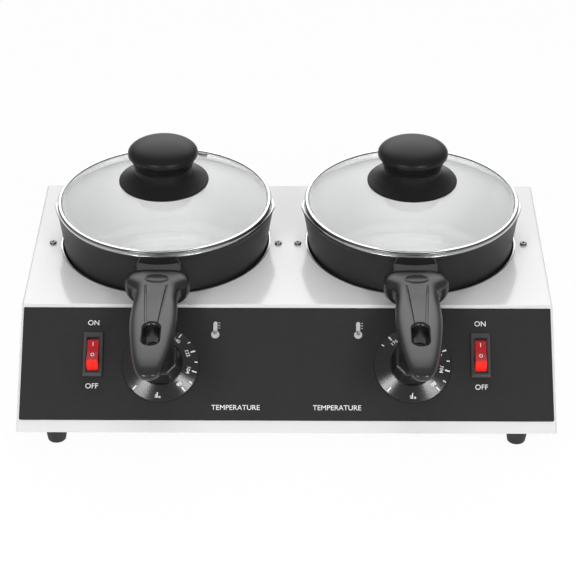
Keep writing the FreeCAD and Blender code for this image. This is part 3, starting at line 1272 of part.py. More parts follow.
def thermostat_feed(side):
    """The live lead from a switch's upper tab to its thermostat."""
    switch_x = side * SWITCH_X
    tab_x = side * (DIAL_X + THERMOSTAT_TAB_X)
    high_x, high_y, high_z = THERMOSTAT_FEED_HIGH
    low_x, low_y, low_z = THERMOSTAT_FEED_LOW
    return tube([
        panel_point(switch_x, SWITCH_DOWN, SWITCH_TAB_PITCH, SWITCH_TAB_OUT),
        panel_point(switch_x, SWITCH_DOWN, SWITCH_TAB_PITCH, SWITCH_TAB_OUT - LEAD_TAIL),
        vec(side * (SWITCH_X - high_x), high_y, high_z),
        vec(side * (DIAL_X + low_x), low_y, low_z),
        panel_point(tab_x, DIAL_DOWN, 0, THERMOSTAT_TAB_OUT - LEAD_MIDDLE_TAIL),
        panel_point(tab_x, DIAL_DOWN, 0, THERMOSTAT_TAB_OUT),
    ], LEAD_RADIUS)


def heater_feed(side):
    """The live lead from a thermostat to its heater."""
    tab_x = side * (DIAL_X - THERMOSTAT_TAB_X)
    heater_x = side * (PAN_X - HEATER_TAB_X)
    bend_x, bend_y, bend_z = HEATER_FEED_BEND
    low_y, low_z = HEATER_FEED_LOW
    return tube([
        panel_point(tab_x, DIAL_DOWN, 0, THERMOSTAT_TAB_OUT),
        panel_point(tab_x, DIAL_DOWN, 0, THERMOSTAT_TAB_OUT - LEAD_SHORT_TAIL),
        vec(side * (DIAL_X - bend_x), bend_y, bend_z),
        vec(heater_x, low_y, low_z),
        vec(heater_x, HEATER_LEAD_Y, HEATER_TAB_Z),
        vec(heater_x, heater_tab_y(), HEATER_TAB_Z),
    ], LEAD_RADIUS)


def heater_return(side, way):
    """The neutral lead from a heater to the front of the terminal block."""
    x = block_way_x(way)
    heater_x = side * (PAN_X + HEATER_TAB_X)
    bend_x, bend_y, bend_rise = HEATER_RETURN_BEND
    middle_inset, middle_y = HEATER_RETURN_MIDDLE
    inner_inset, inner_y = HEATER_RETURN_INNER
    fan_x, fan_y = HEATER_RETURN_FAN
    return tube([
        vec(heater_x, heater_tab_y(), HEATER_TAB_Z),
        vec(heater_x, HEATER_LEAD_Y, HEATER_TAB_Z),
        vec(side * (PAN_X + bend_x), bend_y, LEAD_LOW_Z + bend_rise),
        vec(side * (PAN_X - middle_inset), middle_y, LEAD_LOW_Z),
        vec(side * (PAN_X - inner_inset), inner_y, LEAD_LOW_Z),
        vec(x + side * fan_x, fan_y, LEAD_LOW_Z),
        vec(x, 0, LEAD_LOW_Z + LEAD_FLOOR_GAP),
        vec(x, HEATER_RETURN_END_Y, LEAD_BLOCK_Z),
        vec(x, BLOCK_FRONT_END, LEAD_BLOCK_Z),
    ], LEAD_RADIUS)


def make_wiring_live():
    """All live leads, each a separate solid."""
    return [inlet_lead(0, 0), switch_feed(-1, 0), switch_feed(1, 1), thermostat_feed(-1),
            thermostat_feed(1), heater_feed(-1), heater_feed(1)]


def make_wiring_neutral():
    """All neutral leads, each a separate solid."""
    return [inlet_lead(1, 3), heater_return(-1, 2), heater_return(1, 3)]


def make_wiring_earth():
    """The earth lead from the inlet down to the bottom plate."""
    _, z = inlet_pin_places()[2]
    tail = pin_tail_y()
    return tube([
        vec(0, tail, z),
        vec(0, tail - EARTH_LEAD_TAIL, z),
        vec(0, tail - EARTH_LEAD_BEND, z - EARTH_LEAD_DIP),
        vec(0, tail - EARTH_LEAD_BEND, BASE_TOP_Z),
    ], LEAD_RADIUS)


def main():
    """Build and write every node."""
    os.makedirs("parts", exist_ok=True)
    save("casing", make_casing())
    save("base_plate", make_base_plate())
    save("control_panel", make_control_panel())
    save("rubber_feet", *make_feet())
    save("foot_screws", *make_foot_screws())
    save("foot_nuts", *make_foot_nuts())
    save("base_plate_screws", *make_base_plate_screws())
    save("well_screws", *make_well_screws())
    save("well_nuts", *make_well_nuts())
    save("heater_discs", *make_heater_discs())
    save("insulation_pads", *ring_below(INSULATION_RADIUS, INSULATION_THICKNESS, INSULATION_LOW_Z))
    save("heater_clamp_plates", *ring_below(CLAMP_RADIUS, CLAMP_THICKNESS, CLAMP_LOW_Z))
    save("heater_nuts", *make_heater_nuts())
    save("thermostat_screws", *make_thermostat_screws())
    save("capillary_bulbs", *[make_capillary(side * PAN_X, side * DIAL_X) for _, side in SIDES])
    save("switch_terminals", *make_switch_terminals())
    save("power_inlet", make_power_inlet())
    save("inlet_pins", *make_inlet_pins())
    save("inlet_screws", *make_inlet_screws())
    save("terminal_block", make_terminal_block())
    save("wiring_live", *make_wiring_live())
    save("wiring_neutral", *make_wiring_neutral())
    save("wiring_earth", make_wiring_earth())
    for name, side in SIDES:
        save(name + "_well", make_well(side * PAN_X))
        save(name + "_thermostat", make_thermostat(side * DIAL_X))
        save(name + "_thermostat_shaft", make_dial_shaft(side * DIAL_X))
        save(name + "_dial_skirt", make_dial_skirt(side * DIAL_X))
        save(name + "_dial_knob", make_dial_knob(side * DIAL_X))
        save(name + "_switch_housing", make_switch_housing(side * SWITCH_X))
        save(name + "_rocker", make_rocker(side * SWITCH_X))
        save(name + "_pan", make_pan(side * PAN_X))
        save(name + "_handle_bracket", make_handle_bracket(side * PAN_X))
        save(name + "_handle_ferrule", make_handle_ferrule(side * PAN_X))
        save(name + "_handle", make_handle(side * PAN_X))
        save(name + "_handle_screw", make_handle_screw(side * PAN_X))
        save(name + "_lid_glass", make_lid_glass(side * PAN_X))
        save(name + "_lid_rim", make_lid_rim(side * PAN_X))
        save(name + "_lid_knob_skirt", make_lid_knob_skirt(side * PAN_X))
        save(name + "_lid_knob", make_lid_knob(side * PAN_X))
        save(name + "_lid_screw", make_lid_screw(side * PAN_X))
        save(name + "_vent_grommet", make_vent_grommet(side * PAN_X))


main()
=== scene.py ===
import math

import bmesh
import bpy
import numpy as np
from mathutils import Matrix, Vector


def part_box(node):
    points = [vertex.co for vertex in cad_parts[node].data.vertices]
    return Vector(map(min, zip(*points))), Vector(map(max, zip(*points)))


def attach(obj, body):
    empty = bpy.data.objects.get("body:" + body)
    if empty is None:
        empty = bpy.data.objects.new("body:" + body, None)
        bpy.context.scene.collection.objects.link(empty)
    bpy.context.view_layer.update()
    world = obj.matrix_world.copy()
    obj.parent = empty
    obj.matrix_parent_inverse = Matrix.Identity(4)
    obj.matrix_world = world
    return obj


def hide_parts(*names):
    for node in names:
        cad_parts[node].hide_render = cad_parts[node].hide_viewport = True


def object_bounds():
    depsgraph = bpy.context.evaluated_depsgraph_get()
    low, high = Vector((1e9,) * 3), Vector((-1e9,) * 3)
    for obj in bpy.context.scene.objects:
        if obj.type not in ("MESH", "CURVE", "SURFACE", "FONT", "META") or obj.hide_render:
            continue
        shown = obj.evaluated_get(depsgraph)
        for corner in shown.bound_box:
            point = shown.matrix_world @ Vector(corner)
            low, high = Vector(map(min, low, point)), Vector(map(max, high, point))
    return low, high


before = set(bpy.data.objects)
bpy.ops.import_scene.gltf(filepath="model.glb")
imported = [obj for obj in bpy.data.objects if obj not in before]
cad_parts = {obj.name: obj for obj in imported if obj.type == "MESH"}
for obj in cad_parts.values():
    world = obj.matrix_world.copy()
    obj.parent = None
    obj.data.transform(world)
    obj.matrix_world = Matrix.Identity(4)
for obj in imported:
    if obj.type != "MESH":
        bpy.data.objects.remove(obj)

# The looks of a twin chocolate melting pot. The frame is in metres, while sizes here are in millimetres
# and MM turns them into metres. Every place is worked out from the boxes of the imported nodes.

cad_low, cad_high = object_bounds()
scene = bpy.context.scene
MM = 0.001
SIDES = (("left", -1), ("right", 1))

# The casing's front slopes down from the fold below its top to its bottom edge.
casing_low, casing_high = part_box("casing")
SLOPE_RUN = 75 * MM
FOLD = Vector((0, casing_low.y + SLOPE_RUN, casing_high.z))
SLOPE_TURN = Matrix.Rotation(math.atan2(casing_high.z - casing_low.z, SLOPE_RUN), 4, "X")
PANEL_THICKNESS = 0.8
PRINT_THICKNESS = 0.06


def node_centre(node):
    """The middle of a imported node's box."""
    low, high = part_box(node)
    return (low + high) / 2


def on_slope(x, down, out=0.0):
    """The matrix of a place on the slope, given in millimetres: Z along its normal and Y up the slope."""
    return Matrix.Translation(FOLD) @ SLOPE_TURN @ Matrix.Translation(Vector((x, -down, out)) * MM)


def on_axis(node, z):
    """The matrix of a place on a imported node's upright axis, z in metres."""
    centre = node_centre(node)
    return Matrix.Translation((centre.x, centre.y, z))


# Materials

def new_material(name):
    """An empty material with its node tree and shader."""
    material = bpy.data.materials.new(name)
    material.use_nodes = True
    return material, material.node_tree, material.node_tree.nodes["Principled BSDF"]


def add_node(tree, kind, **values):
    """A node whose named inputs and attributes are set."""
    node = tree.nodes.new(kind)
    for key, value in values.items():
        if key in node.inputs:
            node.inputs[key].default_value = value
        else:
            setattr(node, key, value)
    return node


def wire(output, socket):
    """Link a node's output to a socket."""
    socket.id_data.links.new(output, socket)


def calculated(tree, operation, *values):
    """The result of a math node on other nodes' outputs and fixed numbers."""
    node = add_node(tree, "ShaderNodeMath", operation=operation)
    for socket, value in zip(node.inputs, values):
        if isinstance(value, float):
            socket.default_value = value
        else:
            wire(value, socket)
    return node.outputs["Value"]


def object_position(tree):
    """Coordinates in the object's own space."""
    return tree.nodes.new("ShaderNodeTexCoord").outputs["Object"]


def split(tree, vector):
    """The three parts of a vector."""
    node = tree.nodes.new("ShaderNodeSeparateXYZ")
    wire(vector, node.inputs["Vector"])
    return node.outputs


def noise(tree, vector, scale, detail=3.0, roughness=0.5):
    """The value of a noise texture."""
    node = add_node(tree, "ShaderNodeTexNoise", Scale=scale, Detail=detail, Roughness=roughness)
    wire(vector, node.inputs["Vector"])
    return node.outputs["Fac"]


def spread(tree, value, low, high, start=0.0, end=1.0, **more):
    """A value between start and end, mapped to the range from low to high."""
    node = add_node(tree, "ShaderNodeMapRange", **{
        "From Min": start, "From Max": end, "To Min": low, "To Max": high}, **more)
    wire(value, node.inputs["Value"])
    return node.outputs["Result"]


def between(tree, value, dark, light):
    """A colour between two others, where a single number stands for a grey."""
    node = add_node(tree, "ShaderNodeValToRGB")
    for element, tone in zip(node.color_ramp.elements, (dark, light)):
        element.color = (*tone, 1) if isinstance(tone, tuple) else (tone, tone, tone, 1)
    wire(value, node.inputs["Fac"])
    return node.outputs["Color"]


def bump(tree, shader, height, strength, depth):
    """Raise the surface by a texture, depth in millimetres."""
    node = add_node(tree, "ShaderNodeBump", Strength=strength, Distance=depth * MM)
    wire(height, node.inputs["Height"])
    wire(node.outputs["Normal"], shader.inputs["Normal"])


def set_sockets(shader, **values):
    """Fixed values on the shader's own sockets, named with underscores for spaces."""
    for key, value in values.items():
        shader.inputs[key.replace("_", " ")].default_value = value


BROAD_SHARE = 0.06


def grained(name, dark, light, grain, rough, relief, metal=0.0, specular=0.5):
    """A surface whose tone varies broadly, and whose gloss and relief vary with a fine grain."""
    material, tree, shader = new_material(name)
    vector = object_position(tree)
    fine = noise(tree, vector, grain, 4.0, 0.6)
    broad = noise(tree, vector, grain * BROAD_SHARE, 2.0)
    wire(between(tree, broad, dark, light), shader.inputs["Base Color"])
    wire(spread(tree, fine, *rough), shader.inputs["Roughness"])
    bump(tree, shader, fine, *relief)
    set_sockets(shader, Metallic=metal, Specular_IOR_Level=specular)
    return material


GLASS_COVER, GLASS_SHADE = 0.9, 0.08


def make_glass():
    """Clear tempered glass with a faint green tint, which lets nearly all light through to the pan."""
    material, tree, shader = new_material("lid_glass")
    film = noise(tree, object_position(tree), 30.0, 2.0)
    tint = between(tree, film, (0.965, 0.985, 0.975), (0.985, 0.995, 0.99))
    wire(tint, shader.inputs["Base Color"])
    wire(spread(tree, film, 0.0, 0.012), shader.inputs["Roughness"])
    set_sockets(shader, Transmission_Weight=1.0, IOR=1.45, Specular_IOR_Level=1.0)
    path = tree.nodes.new("ShaderNodeLightPath").outputs
    lit = calculated(tree, "MAXIMUM", path["Is Shadow Ray"], path["Is Diffuse Ray"])
    wire(spread(tree, lit, GLASS_COVER, GLASS_SHADE), shader.inputs["Alpha"])
    return material


GLOW_START, GLOW_FULL = -5.0, -6.6


def make_rocker_red():
    """Tinted clear plastic, lit from within by a lamp below its raised end."""
    material, tree, shader = new_material("rocker_red")
    along = split(tree, object_position(tree))["Y"]
    glow = spread(tree, along, 0.0, 1.0, GLOW_START * MM, GLOW_FULL * MM)
    lit = between(tree, glow, (0.36, 0.012, 0.016), (0.85, 0.02, 0.012))
    wire(lit, shader.inputs["Base Color"])
    wire(lit, shader.inputs["Emission Color"])
    wire(spread(tree, glow, 0.14, 0.32), shader.inputs["Emission Strength"])
    grain = noise(tree, object_position(tree), 900.0)
    wire(spread(tree, grain, 0.3, 0.4), shader.inputs["Roughness"])
    set_sockets(shader, Specular_IOR_Level=0.25)
    return material


RINGS_PER_METRE = 2600.0


def spun(name, dark, light, roughness, anisotropy, metal=1):
    """Metal turned on a lathe: fine rings round the object's own Z, and a stretched highlight."""
    material, tree, shader = new_material(name)
    parts = split(tree, object_position(tree))
    plane = tree.nodes.new("ShaderNodeCombineXYZ")
    for axis in "XY":
        wire(parts[axis], plane.inputs[axis])
    length = add_node(tree, "ShaderNodeVectorMath", operation="LENGTH")
    wire(plane.outputs["Vector"], length.inputs[0])
    rings = add_node(tree, "ShaderNodeTexNoise", noise_dimensions="1D", Scale=RINGS_PER_METRE, Detail=4.0)
    wire(length.outputs["Value"], rings.inputs["W"])
    ring = rings.outputs["Fac"]
    wire(between(tree, ring, dark, light), shader.inputs["Base Color"])
    wire(spread(tree, ring, roughness * 0.85, roughness * 1.2), shader.inputs["Roughness"])
    bump(tree, shader, ring, 0.12, 0.02)
    tangent = add_node(tree, "ShaderNodeTangent", direction_type="RADIAL", axis="Z")
    wire(tangent.outputs["Tangent"], shader.inputs["Tangent"])
    set_sockets(shader, Metallic=metal, Anisotropic=anisotropy, Anisotropic_Rotation=0.25)
    return material


# Each finish: dark and light tone, grain, roughness range, the relief's strength and depth
enamel = grained("white_enamel", 0.73, 0.745, 260, (0.16, 0.2), (0.05, 0.03), specular=0.6)
set_sockets(enamel.node_tree.nodes["Principled BSDF"], Coat_Weight=0.6, Coat_Roughness=0.06)
panel_black = grained("panel_print", 0.017, 0.021, 2300, (0.5, 0.62), (0.5, 0.05), specular=0.25)
print_white = grained("print_white", 0.8, 0.86, 1500, (0.45, 0.6), (0.1, 0.01))
print_grey = grained("print_grey", 0.42, 0.5, 1500, (0.45, 0.6), (0.1, 0.01))
rubber = grained("black_rubber", 0.012, 0.022, 900, (0.55, 0.75), (0.3, 0.05))
pan_black = grained("pan_coating", 0.012, 0.016, 1800, (0.36, 0.46), (0.25, 0.03), specular=0.32)
bakelite = grained("black_bakelite", 0.007, 0.01, 700, (0.26, 0.33), (0.03, 0.02), specular=0.7)
knob_black = grained("knob_bakelite", 0.007, 0.01, 700, (0.3, 0.38), (0.03, 0.02), specular=0.22)
# The neck's own glossy finish, also used as a painted highlight along the bracket plate's edges.
neck_gloss_and_painted_edge_highlight = grained("neck_gloss_and_painted_edge_highlight", 0.05, 0.06, 500, (0.16, 0.22), (0.05, 0.02))
switch_plastic = grained("switch_plastic", 0.032, 0.045, 2600, (0.42, 0.56), (0.35, 0.03))
inlet_plastic = grained("inlet_plastic", 0.014, 0.024, 1900, (0.4, 0.55), (0.3, 0.03))
zinc = grained("bare_steel", 0.5, 0.66, 420, (0.24, 0.4), (0.08, 0.02), metal=1)
polished = grained("lid_steel", 0.72, 0.8, 240, (0.07, 0.12), (0.02, 0.01), metal=1)
# Darker steel: the own tone of the vent eyelet and the well screws, and also the painted dark reflection and
# painted shade on the lid band.
dark_steel_and_painted_reflection = grained("lid_steel_dark_and_painted_reflection", 0.18, 0.24, 240, (0.12, 0.18), (0.02, 0.01), metal=1)
rim_bare = grained("rim_edge", 0.62, 0.74, 500, (0.18, 0.3), (0.05, 0.01), metal=1)
heater_alloy = grained("heater_alloy", 0.3, 0.41, 300, (0.4, 0.6), (0.3, 0.08), metal=1)
insulation = grained("insulation", (0.66, 0.62, 0.52), (0.78, 0.75, 0.66), 500, (0.8, 0.95), (0.6, 0.2))
copper = grained("copper", (0.62, 0.3, 0.18), (0.75, 0.42, 0.27), 500, (0.18, 0.32), (0.1, 0.02), metal=1)
brass = grained("pin_brass", (0.68, 0.6, 0.36), (0.78, 0.72, 0.5), 500, (0.18, 0.3), (0.1, 0.02), metal=1)
nylon = grained("block_nylon", (0.72, 0.71, 0.64), (0.8, 0.79, 0.72), 900, (0.4, 0.55), (0.2, 0.04))
lead_brown = grained("lead_brown", (0.13, 0.05, 0.02), (0.18, 0.075, 0.03), 900, (0.35, 0.5), (0.2, 0.03))
lead_blue = grained("lead_blue", (0.02, 0.08, 0.3), (0.03, 0.11, 0.36), 900, (0.35, 0.5), (0.2, 0.03))
lead_green = grained("lead_green", (0.14, 0.3, 0.04), (0.2, 0.38, 0.06), 900, (0.35, 0.5), (0.2, 0.03))
glass = make_glass()
rocker_red = make_rocker_red()
well_metal = spun("well_aluminium", 0.6, 0.74, 0.3, 0.5)
dial_metal = spun("dial_metal", 0.07, 0.1, 0.27, 0.88)
pan_inside = spun("pan_inside", 0.9, 0.94, 0.4, 0.3, metal=0.2)


# Mesh helpers

def arc_corner(before, corner, after, radius, steps=6):
    """Points of a rounded corner between two straight runs of an outline."""
    a, b, c = Vector(before), Vector(corner), Vector(after)
    way_in, way_out = (a - b).normalized(), (c - b).normalized()
    half = way_in.angle(way_out) / 2
    reach = min(radius / math.tan(half), (a - b).length * 0.49, (c - b).length * 0.49)
    start, end = b + way_in * reach, b + way_out * reach
    points = []
    for k in range(steps + 1):
        t = k / steps
        points.append(tuple(start * (1 - t) ** 2 + b * 2 * t * (1 - t) + end * t ** 2))
    return points


def rounded(outline, closed=False):
    """An outline of (radius, height, corner radius) points with its corners rounded."""
    points = []
    count = len(outline)
    for k, (r, z, corner) in enumerate(outline):
        if corner and (closed or 0 < k < count - 1):
            points += arc_corner(outline[k - 1][:2], (r, z), outline[(k + 1) % count][:2], corner)
        else:
            points.append((r, z))
    return points


def smooth_curve(points, steps=8):
    """A Catmull-Rom curve through points of any dimension."""
    padded = [np.array(point, float) for point in (points[0], *points, points[-1])]
    result = []
    for p0, p1, p2, p3 in zip(padded, padded[1:], padded[2:], padded[3:]):
        for k in range(steps):
            t = k / steps
            result.append(tuple(0.5 * (2 * p1 + (p2 - p0) * t + (2 * p0 - 5 * p1 + 4 * p2 - p3) * t ** 2
                                       + (3 * p1 - p0 - 3 * p2 + p3) * t ** 3)))
    result.append(tuple(points[-1]))
    return result


def millimetres(points):
    """Points written in millimetres, turned into metres."""
    return [tuple(value * MM for value in point) for point in points]


def shade(mesh, sharp=40):
    """Smooth shading with sharp edges above an angle in degrees, and faces that point outwards."""
    form = bmesh.new()
    form.from_mesh(mesh)
    bmesh.ops.remove_doubles(form, verts=form.verts, dist=1e-7)
    bmesh.ops.recalc_face_normals(form, faces=form.faces)
    for face in form.faces:
        face.smooth = True
    for edge in form.edges:
        if len(edge.link_faces) == 2:
            edge.smooth = edge.calc_face_angle(0) < math.radians(sharp)
    form.to_mesh(mesh)
    form.free()


def make_mesh(vertices, faces, sharp):
    """A shaded mesh from its points and faces."""
    mesh = bpy.data.meshes.new("form")
    mesh.from_pydata(vertices, [], faces)
    shade(mesh, sharp)
    return mesh


def lathe(outline, closed=False, segments=160, shift=None):
    """A mesh turned round Z from an outline of (radius, height) points. shift may move each point."""
    vertices, rings, faces = [], [], []
    for r, z in outline:
        if r < 1e-6:
            rings.append([len(vertices)])
            vertices.append((0, 0, z))
            continue
        rings.append(list(range(len(vertices), len(vertices) + segments)))
        for k in range(segments):
            angle = 2 * math.pi * k / segments
            radius, height = shift(angle, r, z) if shift else (r, z)
            vertices.append((radius * math.cos(angle), radius * math.sin(angle), height))
    pairs = list(zip(rings, rings[1:]))
    if closed:
        pairs.append((rings[-1], rings[0]))
    for low, high in pairs:
        for k in range(segments):
            n = (k + 1) % segments
            corners = [low[k % len(low)], low[n % len(low)], high[n % len(high)], high[k % len(high)]]
            corners = list(dict.fromkeys(corners))
            if len(corners) > 2:
                faces.append(corners)
    return make_mesh(vertices, faces, 40)


def loft(sections, sharp=40):
    """A closed mesh through sections of equally many points, with capped ends."""
    count = len(sections[0])
    vertices = [tuple(point) for section in sections for point in section]
    faces = [list(range(count))[::-1], list(range(len(vertices) - count, len(vertices)))]
    for row in range(len(sections) - 1):
        for k in range(count):
            n = (k + 1) % count
            faces.append([row * count + k, row * count + n, (row + 1) * count + n, (row + 1) * count + k])
    return make_mesh(vertices, faces, sharp)


def link(name, data, matrix=Matrix.Identity(4)):
    """A new object in the scene."""
    thing = bpy.data.objects.new(name, data)
    scene.collection.objects.link(thing)
    thing.matrix_world = matrix
    return thing


def add_piece(side, name, mesh, matrix, materials, body, node=None):
    """A piece of one side on its body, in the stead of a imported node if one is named."""
    piece = link(side + "_" + name, mesh, matrix)
    for material in materials:
        mesh.materials.append(material)
    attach(piece, body if body == "base" else side + "_" + body)
    if node:
        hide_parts(side + "_" + node)


def evaluated_mesh(thing):
    """The final mesh of an object with its modifiers applied."""
    bpy.context.view_layer.update()
    return bpy.data.meshes.new_from_object(thing.evaluated_get(bpy.context.evaluated_depsgraph_get()))


def cut_away(mesh, cutter_mesh, matrix=Matrix.Identity(4), sharp=40):
    """A mesh with another, placed in its own space, cut out of it."""
    target = link("target", mesh)
    cutter = link("cutter", cutter_mesh, matrix)
    cut = target.modifiers.new("cut", "BOOLEAN")
    cut.object = cutter
    cut.operation = "DIFFERENCE"
    cut.solver = "EXACT"
    result = evaluated_mesh(target)
    bpy.data.objects.remove(cutter)
    bpy.data.objects.remove(target)
    shade(result, sharp)
    return result


def bevelled_box(size, bevel, segments=1, centre=(0, 0, 0)):
    """A box with bevelled edges, in millimetres."""
    form = bmesh.new()
    bmesh.ops.create_cube(form, size=1.0)
    bmesh.ops.scale(form, vec=Vector(size) * MM, verts=form.verts)
    bmesh.ops.translate(form, vec=Vector(centre) * MM, verts=form.verts)
    bmesh.ops.bevel(form, geom=form.edges, offset=bevel * MM, segments=segments, profile=0.5, affect="EDGES")
    mesh = bpy.data.meshes.new("box")
    form.to_mesh(mesh)
    form.free()
    shade(mesh)
    return mesh


def joined(meshes, matrices=None, sharp=40):
    """Several meshes as one."""
    form = bmesh.new()
    for k, mesh in enumerate(meshes):
        part = mesh.copy()
        if matrices:
            part.transform(matrices[k])
        form.from_mesh(part)
        bpy.data.meshes.remove(part)
    result = bpy.data.meshes.new("joined")
    form.to_mesh(result)
    form.free()
    shade(result, sharp)
    return result


CAPITAL_SHARE = 0.7


def text_mesh(words, height, weight=0.0):
    """Flat raised lettering, centred, whose capitals have a given height in millimetres."""
    curve = bpy.data.curves.new("words", "FONT")
    curve.body = words
    curve.align_x = "CENTER"
    curve.align_y = "CENTER"
    curve.size = height * MM / CAPITAL_SHARE
    curve.extrude = PRINT_THICKNESS * MM / 2
    curve.offset = weight * MM
    curve.resolution_u = 3
    holder = link("words", curve)
    mesh = evaluated_mesh(holder)
    bpy.data.objects.remove(holder)
    shade(mesh, 30)
    return mesh


# Pans

PAN_FOOT_RADIUS = 76.0
PAN_TAPER = 5.4
PAN_WALL = 2.0
PAN_FLOOR = 2.5
PAN_CORNER = 6.0
RIM_RADIUS, RIM_INNER = 82.0, 79.4
RIM_BEAD = 2.4
GROOVE_DEPTH = 0.3
SPOUT_FLARE, SPOUT_DIP = 3.6, 3.2
SPOUT_WIDTH = 0.62
SPOUT_START = 0.42
FOOT_GROOVE = (52.0, 61.0)
INSIDE_RINGS = (64.0, 44.0, 24.0)
WALL_STEPS = 26


def pan_outline(height):
    """Outside, rim and inside of a pan from its underside, in millimetres."""
    start, end = FOOT_GROOVE
    wall = [(PAN_FOOT_RADIUS + PAN_TAPER * k / WALL_STEPS, height * k / WALL_STEPS, 0)
            for k in range(1, WALL_STEPS)]
    inner_wall = [(r - PAN_WALL, PAN_FLOOR + (height - PAN_FLOOR) * z / height, 0) for r, z, _ in wall]
    rim = [(RIM_RADIUS - 0.7, height - RIM_BEAD - 0.5, 0), (RIM_RADIUS, height - RIM_BEAD, 0.5),
           (RIM_RADIUS, height, 0.9), (RIM_INNER, height, 0.8)]
    outline = [(0, 0, 0), (start, 0, 0), (start + 1, 0.5, 0), (end - 1, 0.5, 0), (end, 0, 0),
               (PAN_FOOT_RADIUS, 0, PAN_CORNER)]
    outline += wall + rim + inner_wall[::-1] + [(PAN_FOOT_RADIUS - PAN_WALL, PAN_FLOOR, PAN_CORNER)]
    sunk = PAN_FLOOR - GROOVE_DEPTH
    for ring in INSIDE_RINGS:
        outline += [(ring + 1.2, PAN_FLOOR, 0), (ring + 0.5, sunk, 0), (ring - 0.5, sunk, 0),
                    (ring - 1.2, PAN_FLOOR, 0)]
    outline += [(5.0, PAN_FLOOR, 0), (3.5, sunk, 0), (0, sunk, 0)]
    return millimetres(rounded(outline))


def pan_radius(z, pan_low, pan_high):
    """The radius of a pan's outside at a height, in millimetres."""
    return PAN_FOOT_RADIUS + PAN_TAPER * (z - pan_low) / (pan_high - pan_low)


def spout_share(across):
    """How far a place belongs to a spout, from the sine of its angle."""
    return max(0.0, 1 - across / SPOUT_WIDTH)


def make_pan(side):
    """The pan, with its rim pinched out and down to a pouring lip on each side."""
    low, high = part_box(side + "_pan")
    height = high.z - low.z

    def spout(angle, r, z):
        share = spout_share(min(abs(math.sin(angle / 2)), abs(math.cos(angle / 2))) * 2)
        rise = max(0.0, (z / height - SPOUT_START) / (1 - SPOUT_START))
        dip = SPOUT_DIP * MM * share ** 2 * rise ** 4
        return r + SPOUT_FLARE * MM * share ** 2.4 * rise ** 1.6, z - dip

    mesh = lathe(pan_outline(height / MM), segments=256, shift=spout)
    for face in mesh.polygons:
        centre = face.center
        radius = centre.xy.length
        share = spout_share(abs(centre.y) / radius)
        rim_low = height - (0.75 + SPOUT_DIP * share ** 2) * MM
        wall_inside = (75.1 + PAN_TAPER * centre.z / height + SPOUT_FLARE * share ** 2.4) * MM
        level = face.normal.z > 0.3
        inward = face.normal.xy.dot(centre.xy) < 0
        if centre.z > rim_low and radius > RIM_INNER * MM and level:
            face.material_index = 1
        elif centre.z > 2 * MM and radius < wall_inside and (inward or level):
            face.material_index = 2
    place = on_axis(side + "_lid_rim", low.z)
    add_piece(side, "pan_shell", mesh, place, [pan_black, rim_bare, pan_inside], "pan", "pan")


# Lids

GLASS_SPHERE = 176.0
GLASS_THICKNESS = 3.0
GLASS_BORE = 2.6
GLASS_CHAMFER = 0.4
GLASS_STEPS = 44
VENT_BORE = 2.6
VENT_CIRCLE = 66.0
VENT_AZIMUTH = math.radians(66)


def dome(r, sphere=GLASS_SPHERE):
    """Height of a sphere's top at a radius, measured from the top of the glass."""
    return math.sqrt(sphere ** 2 - r ** 2) - GLASS_SPHERE


def make_lid_glass(side):
    """The domed glass, ground flat where it rests, with its screw hole, vent hole and vent eyelet."""
    low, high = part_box(side + "_lid_glass")
    radius = (high.x - low.x) / 2 / MM
    seat = (low.z - high.z) / MM
    inner_sphere = GLASS_SPHERE - GLASS_THICKNESS
    flat_start = math.sqrt(inner_sphere ** 2 - (GLASS_SPHERE + seat) ** 2)
    outer = [(r, dome(r)) for r in np.linspace(GLASS_BORE, radius - GLASS_CHAMFER, GLASS_STEPS + 1)]
    inner = [(r, dome(r, inner_sphere)) for r in np.linspace(flat_start, GLASS_BORE, GLASS_STEPS + 1)]
    edge = [(radius, outer[-1][1] - GLASS_CHAMFER), (radius, seat + 0.3), (radius - 0.3, seat)]
    mesh = lathe(millimetres(outer + edge + inner), closed=True, segments=192)
    tilt = math.asin(VENT_CIRCLE / GLASS_SPHERE)
    turn = Matrix.Rotation(VENT_AZIMUTH, 4, "Z") @ Matrix.Rotation(tilt, 4, "Y")
    lift = Matrix.Translation((0, 0, GLASS_SPHERE * MM))
    vent = lift.inverted() @ turn @ lift
    drill = lathe(millimetres([(0, -11), (VENT_BORE, -11), (VENT_BORE, 6), (0, 6)]), segments=32)
    mesh = cut_away(mesh, drill, vent)
    place = on_axis(side + "_lid_rim", high.z)
    add_piece(side, "glass_dome", mesh, place, [glass], "lid", "lid_glass")
    back = -GLASS_THICKNESS
    eyelet = rounded([
        (1.5, back - 1.0, 0), (4.2, back - 1.0, 0.3), (4.2, back - 0.3, 0.3), (2.5, back - 0.15, 0),
        (2.5, 0.05, 0), (4.2, 0.1, 0.3), (4.0, 0.9, 0.5), (2.6, 1.3, 0.5), (1.5, 0.9, 0.4)], closed=True)
    mesh = lathe(millimetres(eyelet), closed=True, segments=48)
    add_piece(side, "vent_eyelet", mesh, place @ vent, [dark_steel_and_painted_reflection], "lid", "vent_grommet")


